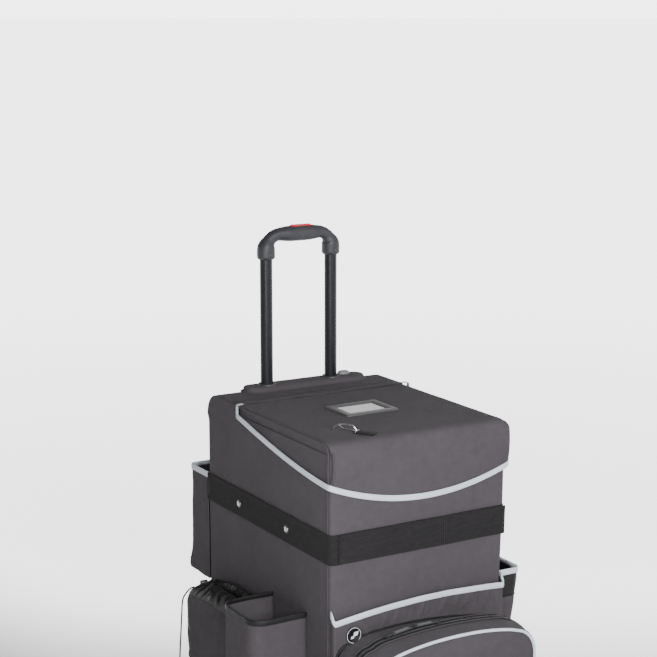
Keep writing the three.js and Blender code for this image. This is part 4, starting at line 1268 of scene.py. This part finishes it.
# Piping round the front panel, between two low lips of cloth.
OUT = Vector((0, -1, 0))
inset = 3.0
side = zip_side(zip_low.y) - inset
shoulder = SHOULDER_X - 17
end_z = zip_top(side, zip_low.y, inset)
rising = [(-side, z) for z in spaced(zip_low.z + inset + 14, end_z, 12)]
turning = [-(side - (side - shoulder) * (k / 14) ** 2) for k in range(1, 14)]
crown = turning + spaced(-shoulder, shoulder, 44) + [-x for x in reversed(turning)]
outline = rising + [(x, zip_top(x, zip_low.y, inset)) for x in crown] + [(-x, z) for x, z in reversed(rising)]
bottom = corner_arc(side - 14, zip_low.z + inset + 14, 14, 0, -90, 6)[1:]
outline += bottom + [(-x, z) for x, z in reversed(bottom)]
ring = [Vector((x, zip_low.y - 0.2, z)) for x, z in outline]
piping = [(p, (ring[(i + 1) % len(ring)] - ring[i - 1]).normalized().cross(OUT).normalized())
          for i, p in enumerate(ring)]
rows = [circle(p, OUT, across, 3.3, 14) for p, across in piping]
piece("front_piping", *loft(rows + rows[:1]), "edge_tape", replaces=["zip_piping"])
lips = []
for grow, back in ((5.2, 1.6), (-5.0, 0.9)):
    rows = [circle(p + across * -grow * 0.62 + Vector((0, back, 0)), OUT, across, 1.5, 8)
            for p, across in piping]
    lips.append(loft(rows + rows[:1]))
piece("piping_seams", *merge_meshes(lips), "pocket_fabric")

welt_end = HALF - 1
left_xs = [-welt_end + (welt_end - SHOULDER_X) * (k / 10) ** 2 for k in range(10)]
back_welt = [(x, zip_high.y - 0.5, zip_top(x, zip_high.y) + 0.6)
             for x in left_xs + spaced(-SHOULDER_X, SHOULDER_X, 50) + [-x for x in reversed(left_xs)]]
piece("back_welt", *tube_mesh(back_welt, 2.0, 10), "black_nylon")

def zip_line(y, up, count):
    """Points along the zip and their outward normals; it runs on round the left shoulder."""
    end = HALF - 14
    round_left = [-end + (end - SHOULDER_X) * (k / 10) ** 1.6 for k in range(10)]
    points = []
    for x in round_left + spaced(-SHOULDER_X, SHOULDER_X + 4, count):
        slope = zip_top(x + 0.5, CHAIN_Y) - zip_top(x - 0.5, CHAIN_Y)
        normal = Vector((-slope, 0, 1)).normalized()
        points.append(((x + normal.x * up, y, zip_top(x, CHAIN_Y) + normal.z * up), tuple(normal)))
    return [p for p, _ in points], [n for _, n in points]


# The zip: a tape let into the gusset, with coil teeth, two sliders and their long pulls.
piece("zip_tape", *tape_mesh(*zip_line(CHAIN_Y, 0.5, 70), 25, 0.7), "zip_tape", replaces=["zip_chain"])
# The teeth take the lighter coil colour, which paints in the glint of the coil.
teeth = [stitch_mesh(*zip_line(CHAIN_Y, 1.1, 120), sign * 1.7, 2.1, (1.25, 3.0, 0.75)) for sign in (-1, 1)]
piece("zip_teeth", *merge_meshes(teeth), ZIP_COIL_PAINTED_GLINT, "root", "zip_metal")
for name, sign in (("front", -1), ("rear", 1)):
    piece(f"zip_hem_{name}", *tube_mesh(zip_line(CHAIN_Y + sign * 12.5, 0.9, 70)[0], 1.5, 8), "pocket_fabric")


def on_arch(x0):
    """Place of a point (along, y, up from the chain's base) at the arch's place x0."""
    turn = math.asin(x0 / ARCH_R)
    c, s = math.cos(turn), math.sin(turn)

    def place(u, y, up):
        h = ARCH_R + up
        return u * c + h * s, y, ARCH_C + h * c - u * s
    return place


def rounded_plate(place, u0, u1, half_width, w0, w1, r, hole=None):
    """A flat plate with round corners; hole is (u0, u1, half width) of a window through it."""
    def ring(a, b, h, radius, w):
        return [place(u, CHAIN_Y + v, w) for u, v in round_rect(a, b, -h, h, radius)]
    bev = min(0.4, (w1 - w0) / 3)
    rows = [ring(u0 + bev, u1 - bev, half_width - bev, r, w0), ring(u0, u1, half_width, r, w0 + bev),
            ring(u0, u1, half_width, r, w1 - bev), ring(u0 + bev, u1 - bev, half_width - bev, r, w1)]
    if not hole:
        return capped(rows)
    a, b, h = hole
    rows += [ring(a, b, h, min(r, h * 0.9), w1), ring(a, b, h, min(r, h * 0.9), w0)]
    return loft(rows + rows[:1])


FOOT = 2.6
for side, sign, x0 in (("left", 1, -125), ("right", -1, -5)):
    place = on_arch(x0)
    body = [rounded_plate(place, -5.5, 5.5, 4.5, FOOT, FOOT + 1.5, 1.6),
            rounded_plate(place, -5.0, 5.0, 4.0, FOOT + 3.0, FOOT + 4.5, 1.6),
            rounded_plate(place, -1.4, 1.4, 2.6, FOOT + 1.4, FOOT + 3.1, 0.8)]
    bridge = [place(u, CHAIN_Y, FOOT + 4.2 + 4.0 * math.sin(math.pi * (u + 4) / 8) ** 0.7)
              for u in spaced(-4, 4, 8)]
    body.append(tube_mesh(bridge, 0.7, 8))
    piece(f"zip_slider_{side}_body", *merge_meshes(body), "zip_metal", f"slider_{side}",
          replaces=[f"zip_slider_{side}"])
    w0, w1 = FOOT + 6.2 - 0.8, FOOT + 6.2 + 0.8

    def plate(start, end, *rest):
        """A plate between two places along the pull, which points the slider's own way."""
        return rounded_plate(place, *sorted((sign * start, sign * end)), *rest)

    loop = plate(-1.2, 13, 4.4, w0, w1, 2.4, (*sorted((sign * 0.9, sign * 4.2)), 1.9))
    pull = plate(10, 56, 6.5, w0 - 0.1, w1 + 0.35, 2.6)
    piece(f"zip_tab_{side}_pull", *merge_meshes([loop, pull]), "black_plastic", f"tab_{side}",
          replaces=[f"zip_tab_{side}"])
    pad = plate(17, 50, 3.9, w1 + 0.1, w1 + 0.85, 1.4)
    ribs = [plate(u, u + 1.4, 3.3, w1 + 0.8, w1 + 1.15, 0.5) for u in (24, 28, 32, 36, 40)]
    piece(f"zip_tab_{side}_pad", *merge_meshes([pad, *ribs]), TAB_INLAY, f"tab_{side}", "grey_plastic")

# ------------------------------------------------------------------ bottle pocket

bottle_low, bottle_high = local_box("bottle_pocket")
WALL = HALF + 0.3
NYLON_TOP = 345                   # lower part in the pocket fabric, upper part in nylon


def bottle_out(z):
    """Reach of the pocket's outer face at a height: full at the rim, drawn in below."""
    share = (z - bottle_low.z) / (bottle_high.z - bottle_low.z)
    return bottle_high.x - 22 * (1 - share) ** 1.3 + 2.2 * math.sin(share * math.pi) * 0.8


def bottle_shape(x, y, z):
    t = (x - WALL) / (bottle_high.x - WALL)
    x = WALL + (bottle_out(z) - WALL) * t
    edge, sign = (bottle_low.y, 1) if y < (bottle_low.y + bottle_high.y) / 2 else (bottle_high.y, -1)
    x, y = rounded(x, y, bottle_out(z), -1, edge, sign, 16)
    return lean(x, z), y, z


bottle_xs = ticks([WALL, bottle_high.x] + rounding(bottle_high.x, -1, 16, 5), 5)
bottle_ys = ticks(rounding(bottle_low.y, 1, 16, 5) + rounding(bottle_high.y, -1, 16, 5), 5)
bottle = piece("bottle_pocket_cloth",
               *grid_shell(bottle_xs, bottle_ys, ticks([bottle_low.z, NYLON_TOP, bottle_high.z], 6),
                           bottle_shape, without(("z", 1), ("x", -1))),
               "black_nylon", replaces=["bottle_pocket"])
bottle.data.materials.append(MATERIALS["pocket_fabric"])
for polygon in bottle.data.polygons:
    polygon.material_index = 1 if (polygon.center.z / MM) < NYLON_TOP else 0
press(bottle, lambda p: clamp((bottle_high.z - 8 - p.z) / 20) *
      (0.9 * wave(p, 0.03, 51) + 0.5 * wave(p, 0.09, 52) + fold((p.y, p.z), (-250, 380), (-225, 330), 5, 1.6)
       + fold((p.y, p.z), (-190, 385), (-205, 320), 5, 1.4)))
thicken(bottle, 1.6)
x1, y0, y1 = bottle_high.x + 0.4, bottle_low.y - 0.4, bottle_high.y + 0.4
path = rounded_path([(WALL, y0), (x1, y0), (x1, y1), (WALL, y1)], 16, 5)
rim = [(lean(x, bottle_high.z), y, bottle_high.z) for x, y in path]
piece("bottle_edge_tape", *hem(rim, plan_normals(path), hem_section(11.5, 1.2, 1.7, -1)), "edge_tape",
      replaces=["bottle_binding"])
x1 = bottle_out(NYLON_TOP)
path = rounded_path([(WALL, bottle_low.y), (x1, bottle_low.y), (x1, bottle_high.y), (WALL, bottle_high.y)],
                    16, 5)
seam = [(lean(x, NYLON_TOP) + n[0] * 0.2, y + n[1] * 0.2, NYLON_TOP)
        for (x, y), n in zip(path, plan_normals(path))]
piece("bottle_seam", *tube_mesh(seam, 0.9, 8), "black_nylon")

# ------------------------------------------------------------------ rear pocket

back_low, back_high = local_box("rear_pocket")
RIM_Y = 366
BACK_LINE = [(back_low.z, 381), (back_low.z + 7, 385), (325, 381), (352, 371), (400, 367.5), (460, 365.5),
             (510, 365), (back_high.z, RIM_Y)]
BACK_SPAN = 100                   # depth of the grid that back_shape squeezes onto the pocket


def back_out(z):
    """How far the pocket's back reaches at a height."""
    for (z0, y0), (z1, y1) in zip(BACK_LINE, BACK_LINE[1:]):
        if z <= z1:
            t = (z - z0) / (z1 - z0)
            return y0 + (y1 - y0) * t
    return RIM_Y


def back_shape(x, y, z):
    t = (y - back_low.y) / BACK_SPAN
    out = back_out(z)
    y = back_low.y + (out - back_low.y) * t
    sign = math.copysign(1, x)
    r = min(14, (out - back_low.y) * 0.6)
    x, y = rounded(x, y, sign * HALF, -sign, out, -1, r)
    return x, y, z


back_xs = ticks(rounding(-HALF, 1, 14, 5) + rounding(HALF, -1, 14, 5), 12)
back_ys = ticks([back_low.y, back_low.y + BACK_SPAN] + rounding(back_low.y + BACK_SPAN, -1, 15, 4), 10)
back_zs = ticks([back_low.z, back_low.z + 7, 325, 352, 400, back_high.z], 7)
rear_bag = piece("rear_pocket_cloth",
                 *grid_shell(back_xs, back_ys, back_zs, back_shape, without(("z", 1), ("y", -1))),
                 "pocket_fabric", replaces=["rear_pocket"])


def back_swell(p):
    """Slack cloth that is held at its rim, with a sagging bottom."""
    slack = clamp((back_high.z - 10 - p.z) / 30) * (1.4 * wave(p, 0.015, 61) + 0.6 * wave(p, 0.05, 62))
    sag = 5 * math.cos(p.x / HALF * math.pi / 2) ** 2 if p.z < back_low.z + 3 else 0
    return slack * (1 if p.y > back_low.y + 12 else 0.2) - sag


press(rear_bag, back_swell)
thicken(rear_bag, 1.8)
y1 = RIM_Y + 0.5
path = rounded_path([(WALL, back_low.y), (WALL, y1), (-WALL, y1), (-WALL, back_low.y)], 14, 7)
rim = [(x, y, back_high.z) for x, y in path]
piece("rear_edge_tape", *hem(rim, plan_normals(path), hem_section(11.5, 1.2, 1.9, -1)), "edge_tape",
      replaces=["rear_binding"])

# ------------------------------------------------------------------ drawstring pouch

pouch_low, pouch_high = local_box("pouch_shell")
POUCH_R = 45


def pouch_shape(x, y, z, inset=2.5):
    out = pouch_low.x + inset
    ahead = y < (pouch_low.y + pouch_high.y) / 2
    edge, sign = (pouch_low.y + inset, 1) if ahead else (pouch_high.y - inset, -1)
    x, z = rounded(x, z, out, 1, pouch_low.z + inset, 1, 22)
    x, y = rounded(x, y, out, 1, edge, sign, POUCH_R - inset)
    return x, y, z


def draw_in(x, y, z):
    """The cinched mouth pulls the top of the pouch in from its rear end and from its outer side."""
    share = clamp((z - pouch_high.z + 40) / 62) ** 1.3
    middle = (pouch_low.y + pouch_high.y) / 2
    back = max(0, (y - middle) / (pouch_high.y - middle))
    return x + 9 * share * (-WALL - x) / 90, y - 34 * share * back, z - 22 * share * back


p_xs = ticks([-WALL] + rounding(pouch_low.x + 2.5, 1, POUCH_R - 2.5, 8), 8)
p_ys = ticks(rounding(pouch_low.y + 2.5, 1, POUCH_R - 2.5, 8) +
             rounding(pouch_high.y - 2.5, -1, POUCH_R - 2.5, 8), 8)
p_zs = ticks(rounding(pouch_low.z + 2.5, 1, 22, 4) + [pouch_high.z], 8)
pouch = closed_mesh("pouch_cloth", *grid_shell(p_xs, p_ys, p_zs, pouch_shape, without()), 5)


def pouch_held(p):
    return 1 if p.x > -WALL - 5 or p.z > pouch_high.z - 9 else 0


swell(pouch, pouch_held, 8, 3.0)
for v in pouch.data.vertices:
    v.co = at(*draw_in(*local(v.co)))
bm = bmesh.new()
bm.from_mesh(pouch.data)
top_faces = [f for f in bm.faces if local(f.calc_center_median()).z > pouch_high.z - 2.2 and f.normal.z > 0.6]
bmesh.ops.delete(bm, geom=top_faces, context="FACES")
bm.to_mesh(pouch.data)
bm.free()
press(pouch, lambda p: 0 if pouch_held(p) else 1.6 * wave(p, 0.018, 71) + 0.6 * wave(p, 0.05, 72) +
      fold((p.y, p.z), (210, 300), (190, 220), 8, 2.0) + fold((p.y, p.z), (60, 300), (70, 200), 10, 1.5) +
      fold((p.y, p.z), (150, 306), (140, 240), 6, 1.6))
finish_soft(pouch, "pocket_fabric", ["pouch_shell"])
thicken(pouch, 2)


def pouch_ring(inset, count=220):
    """Evenly spaced plan points round the pouch, closed along the bag's wall."""
    x0, y0, y1 = pouch_low.x + inset, pouch_low.y + inset, pouch_high.y - inset
    r = max(3, POUCH_R - inset)
    wall = -WALL - min(inset, 2 + inset * 0.55)
    corners = rounded_path([(wall, y1), (x0, y1), (x0, y0), (wall, y0)], min(r, (wall - x0) * 0.9), 3)
    loop = corners + [corners[0]]
    lengths = [0]
    for a, b in zip(loop, loop[1:]):
        lengths.append(lengths[-1] + math.dist(a, b))
    out = []
    j = 0
    for k in range(count):
        want = lengths[-1] * k / count
        while lengths[j + 1] < want:
            j += 1
        t = (want - lengths[j]) / max(1e-9, lengths[j + 1] - lengths[j])
        out.append(tuple(loop[j][i] + (loop[j + 1][i] - loop[j][i]) * t for i in range(2)))
    return out


# Rings of the gathered mouth: inset, height over the pouch's top and size of the ripples.
GATHER = [(0.6, -8, 0.2), (0.2, -2, 0.6), (2, 6, 1.6), (6, 14, 2.8), (11, 20, 3.6), (16, 23, 3.4),
          (20, 24, 3.2), (23, 24, 2.6), (27, 21, 3.6), (31, 18, 4.4), (35, 16, 4.6), (38, 11, 3.4),
          (38, -2, 1.6), (30, -12, 1.0)]
gather = []
for inset, up, ripple in GATHER:
    z = pouch_high.z + up
    ring = []
    points = pouch_ring(inset)
    count = len(points)
    for k, (x, y) in enumerate(points):
        phase = k * 2 * math.pi / count
        twist = 2.2 * wave((math.cos(phase) * 3, math.sin(phase) * 3, inset * 0.05), 1.0, 81)
        ripples = math.sin(24 * phase + twist * 3) + 0.6 * math.sin(41 * phase + twist * 5)
        ripples *= 1 + 0.6 * wave((x, y, 0), 0.05, 83)
        near_wall = 0.4 if x > -WALL - 8 else 1
        z_here = z + ripples * ripple * 0.55 * near_wall + 2.0 * wave((x, y, z), 0.03, 82) * min(1, ripple)
        grow = ripples * ripple * 0.28 * near_wall
        cx, cy = (-WALL + pouch_low.x) / 2, max(pouch_low.y + 45, min(pouch_high.y - 45, y))
        d = Vector((x - cx, y - cy))
        d = d.normalized() if d.length > 1e-6 else d
        ring.append(draw_in(min(-WALL - 0.4, x + d.x * grow), y + d.y * grow, z_here))
    gather.append(ring)
collar = piece("pouch_gather", *loft(gather), "black_nylon", replaces=["pouch_collar"])
thicken(collar, 0.9)
draw = [(p[0], p[1], p[2] + 1.4) for p in gather[7][::2]]
draw.append(draw[0])
piece("pouch_draw_cord", *tube_mesh(draw, 1.6, 8), "cord")
toggle = [(0.01, -8), (4.2, -8), (5.2, -6.5), (5.2, 6.5), (4.2, 8), (0.01, 8)]
piece("cord_toggle", *turned_mesh(toggle, draw_in(-262, 226, pouch_high.z + 28), "x", 24), "black_plastic")

# ------------------------------------------------------------------ side pocket

side_low, side_high = local_box("side_pocket")


def side_shape(x, y, z):
    share = (z - side_low.z) / (side_high.z - side_low.z)
    bulge = 2.5 * math.sin(math.pi * share) * (1 if x < -WALL - 20 else 0)
    edge, sign = (side_low.y, 1) if y < (side_low.y + side_high.y) / 2 else (side_high.y, -1)
    x, z = rounded(x, z, side_low.x, 1, side_low.z, 1, 18)
    x, y = rounded(x, y, side_low.x, 1, edge, sign, 30)
    return x - bulge, y, z


s_xs = ticks([-WALL] + rounding(side_low.x, 1, 30, 6) + rounding(side_low.x, 1, 18, 4), 7)
s_ys = ticks(rounding(side_low.y, 1, 30, 6) + rounding(side_high.y, -1, 30, 6), 7)
s_zs = ticks(rounding(side_low.z, 1, 18, 4) + [side_high.z], 7)
side_bag = piece("side_pocket_cloth", *grid_shell(s_xs, s_ys, s_zs, side_shape, without(("z", 1), ("x", 1))),
                 "pocket_fabric", replaces=["side_pocket"])
press(side_bag, lambda p: clamp((side_high.z - 10 - p.z) / 30) *
      (1.6 * wave(p, 0.02, 91) + 0.6 * wave(p, 0.06, 92) + fold((p.y, p.z), (-60, 340), (-75, 250), 7, 2)))
thicken(side_bag, 2)
x0, y0, y1 = side_low.x - 0.2, side_low.y - 0.2, side_high.y + 0.2
path = rounded_path([(-WALL, y1), (x0, y1), (x0, y0), (-WALL, y0)], 30, 6)
rim = [(x, y, side_high.z + 0.8 * wave((x, y, 0), 0.02, 93)) for x, y in path]
piece("side_edge_tape", *hem(rim, plan_normals(path), hem_section(11, 1.1, 2.1, -1)), "black_nylon")

# ------------------------------------------------------------------ free end of the drawcord

CORD_ROUTE = [(-279.2, 237.2, 326), (-282.5, 239.2, 326), (-285.6, 241, 323.5), (-287.4, 242, 317),
              (-288.2, 242.5, 308), (-288.8, 242.9, 295), (-289.6, 243.4, 280), (-290.5, 244, 262),
              (-291.5, 244.6, 242), (-292.6, 245.3, 220), (-293.7, 246, 198), (-294.8, 246.7, 175),
              (-296, 247.4, 150), (-297.2, 248.1, 125), (-298.3, 248.8, 102), (-299.2, 249.4, 84)]
cord_line = smooth_curve([draw_in(*p) for p in CORD_ROUTE], 6)
cord = piece("draw_cord_end", *tube_mesh(cord_line, 1.75, 12), "cord", replaces=["drawcord"])
tip = cord_line[-1]
knot = []
for t in spaced(0, 2 * math.pi, 60):
    reach = 2.0 + 1.0 * math.cos(3 * t)
    knot.append((tip[0] + reach * math.cos(2 * t), tip[1] + reach * math.sin(2 * t),
                 tip[2] - 5 + 1.9 * math.sin(3 * t)))
knot_piece = piece("draw_cord_knot", *tube_mesh(knot, 1.6, 10), "cord", replaces=["cord_knot"])
cord_path = [at(*p) for p in cord_line]

# ------------------------------------------------------------------ wheels and base


def wheel_parts(name, low, high, tyre_in, body, tyre_node, hub_node, groove):
    """Rubber tyre with a grooved tread, and a ribbed hub with spokes."""
    c = (low + high) / 2
    r = c.z
    half = (high.x - low.x) / 2
    tread = [(tyre_in, -half + 1), (r - 7, -half), (r - 3, -half + 1.2), (r - 0.6, -half + 4), (r, -half + 6)]
    for g in groove:
        tread += [(r, g - 1.2), (r - 1.6, g - 0.8), (r - 1.6, g + 0.8), (r, g + 1.2)]
    tread += [(r, half - 6), (r - 0.6, half - 4), (r - 3, half - 1.2), (r - 7, half), (tyre_in, half - 1)]
    piece(f"{name}_tyre", *turned_mesh(tread, c, "x", 72), "tyre", body, replaces=[tyre_node])
    rim = [(tyre_in - 6, -half + 4), (tyre_in - 4.5, -half + 1.6), (tyre_in - 0.8, -half + 1.2),
           (tyre_in - 0.2, -half + 2), (tyre_in - 0.2, half - 2), (tyre_in - 0.8, half - 1.2),
           (tyre_in - 4.5, half - 1.6), (tyre_in - 6, half - 4)]
    boss = [(5.6, -half + 0.5), (12, -half + 0.5), (13.5, -half + 2), (13.5, half - 2), (12, half - 0.5),
            (5.6, half - 0.5)]
    web = [(12, -2.2), (tyre_in - 5, -2.2), (tyre_in - 5, 2.2), (12, 2.2)]
    parts = [turned_mesh(rim, c, "x", 60), turned_mesh(boss, c, "x", 40), turned_mesh(web, c, "x", 60)]
    for k in range(8):
        t = 2 * math.pi * k / 8
        u, v = Vector((0, math.cos(t), math.sin(t))), Vector((0, -math.sin(t), math.cos(t)))
        corners = []
        for x in (-half + 4.5, half - 4.5):
            for radius, wide in ((12.5, 3.0), (tyre_in - 5.2, 2.0)):
                for s in (-1, 1):
                    corners.append(tuple(c + Vector((x, 0, 0)) + u * radius + v * wide * s))
        parts.append((corners, [(0, 1, 3, 2), (4, 6, 7, 5), (0, 4, 5, 1), (2, 3, 7, 6), (0, 2, 6, 4),
                                (1, 5, 7, 3)]))
    bevelled(piece(f"{name}_hub", *merge_meshes(parts), "grey_plastic", body,
                   replaces=[hub_node] if hub_node else ()), 0.5, 2)


for side in ("left", "right"):
    low, high = local_box(f"rear_tyre_{side}")
    wheel_parts(f"rear_wheel_{side}", low, high, 46, f"rear_wheel_{side}", f"rear_tyre_{side}",
                f"rear_hub_{side}", (-5, 0, 5))
    low, high = local_box(f"caster_wheel_{side}")
    wheel_parts(f"caster_{side}", low, high, 36, f"caster_roller_{side}", f"caster_wheel_{side}", None, ())
    for node in (f"caster_plate_{side}", f"caster_fork_{side}"):
        bevelled(frame["nodes"][node], 0.9, 2)
    low, high = local_box(f"caster_plate_{side}")
    bolt = [(0.01, -3.4), (3.6, -3.2), (4.4, -2.2), (4.6, 0), (0.01, 0)]
    bolts = [turned_mesh(bolt, (u, v, high.z - 3.7), "z", 20)
             for u in (low.x + 8, high.x - 8) for v in (low.y + 8, high.y - 8)]
    piece(f"caster_bolts_{side}", *merge_meshes(bolts), "steel")

for node, width in (("base_tray", 3), ("axle_frame", 0.8), ("rear_axle", 1), ("tube_bracket", 1),
                    ("floor_board", 1), ("rear_stiffener", 1), ("rim_frame", 1.5), ("lid_board", 1)):
    bevelled(frame["nodes"][node], width, 2)
for node in ("outer_tube_left", "outer_tube_right", "release_linkage", "lock_plunger_left",
             "lock_plunger_right"):
    bevelled(frame["nodes"][node], 0.25, 1)

# ------------------------------------------------------------------ floor and light

FLOOR_SIZE = 400                  # metres each way, so that no edge shows
floor_mesh = bpy.data.meshes.new("floor")
corners = [(x * FLOOR_SIZE, y * FLOOR_SIZE, 0) for x, y in ((-1, -1), (1, -1), (1, 1), (-1, 1))]
floor_mesh.from_pydata(corners, [], [(0, 1, 2, 3)])
floor = bpy.data.objects.new("floor", floor_mesh)
bpy.context.collection.objects.link(floor)

# The floor glows a little, more towards the right and the back and far away, as a lit backdrop does.
floor_material, sweep, shader = new_material("floor_white", (0.72, 0.72, 0.72), 0.8)
spot = sweep.add("ShaderNodeSeparateXYZ")
sweep.link(sweep.place(), spot.inputs[0])
across = sweep.math("MULTIPLY_ADD", spot.outputs[1], 0.35, spot.outputs[0])
behind = sweep.math("MULTIPLY_ADD", spot.outputs[0], 0.55, spot.outputs[1])
distance = sweep.add("ShaderNodeVectorMath", operation="LENGTH")
sweep.link(sweep.place(), distance.inputs[0])
near = sweep.math("MULTIPLY", sweep.ramp(across, -0.5, 0.35), sweep.ramp(behind, -0.3, 1.1))
far = sweep.ramp(distance.outputs["Value"], 1.5, 6.0, 0.08, 1.1)
shader.inputs["Emission Color"].default_value = (1, 1, 1, 1)
sweep.link(sweep.math("MULTIPLY_ADD", near, 2.6, far), shader.inputs["Emission Strength"])
floor_mesh.materials.append(floor_material)

SKY_SLOPE, SKY_LEVEL, SKY_FLOOR = 0.9, 0.34, 0.03      # brighter to the right
HORIZON, HORIZON_GLOW, HORIZON_BEHIND = 0.06, 1.1, 3.4
world = bpy.data.worlds.new("studio")
bpy.context.scene.world = world
world.use_nodes = True
sky = Nodes(world.node_tree)
direction = sky.add("ShaderNodeTexCoord").outputs["Generated"]
toward = sky.add("ShaderNodeVectorMath", operation="DOT_PRODUCT")
sky.link(direction, toward.inputs[0])
toward.inputs[1].default_value = (0.85, 0.1, -0.15)
glow = sky.math("MULTIPLY_ADD", toward.outputs["Value"], SKY_SLOPE, SKY_LEVEL)
glow = sky.math("MAXIMUM", glow, SKY_FLOOR)
aim = sky.add("ShaderNodeSeparateXYZ")
sky.link(direction, aim.inputs[0])
low = sky.math("LESS_THAN", sky.math("ABSOLUTE", aim.outputs[2]), HORIZON)
behind = sky.math("MULTIPLY", low, sky.math("GREATER_THAN", aim.outputs[1], 0.5))
band = sky.math("MULTIPLY_ADD", behind, HORIZON_BEHIND, sky.math("MULTIPLY", low, HORIZON_GLOW))
background = world.node_tree.nodes["Background"]
background.inputs[0].default_value = (1, 1, 1, 1)
sky.link(sky.math("MAXIMUM", glow, band), background.inputs[1])


def area_light(name, place, target, size, power):
    light = bpy.data.lights.new(name, "AREA")
    light.shape = "RECTANGLE"
    light.size, light.size_y = size
    light.energy = power
    obj = bpy.data.objects.new(name, light)
    bpy.context.collection.objects.link(obj)
    obj.location = place
    obj.rotation_euler = (Vector(target) - Vector(place)).to_track_quat("-Z", "Y").to_euler()


area_light("key_light", (-0.45, -3.65, 2.05), (0, 0, 0.5), (1.6, 1.4), 210)
area_light("fill_light", (-0.9, -1.0, 0.9), (-0.2, -0.25, 0.65), (0.4, 0.5), 11)
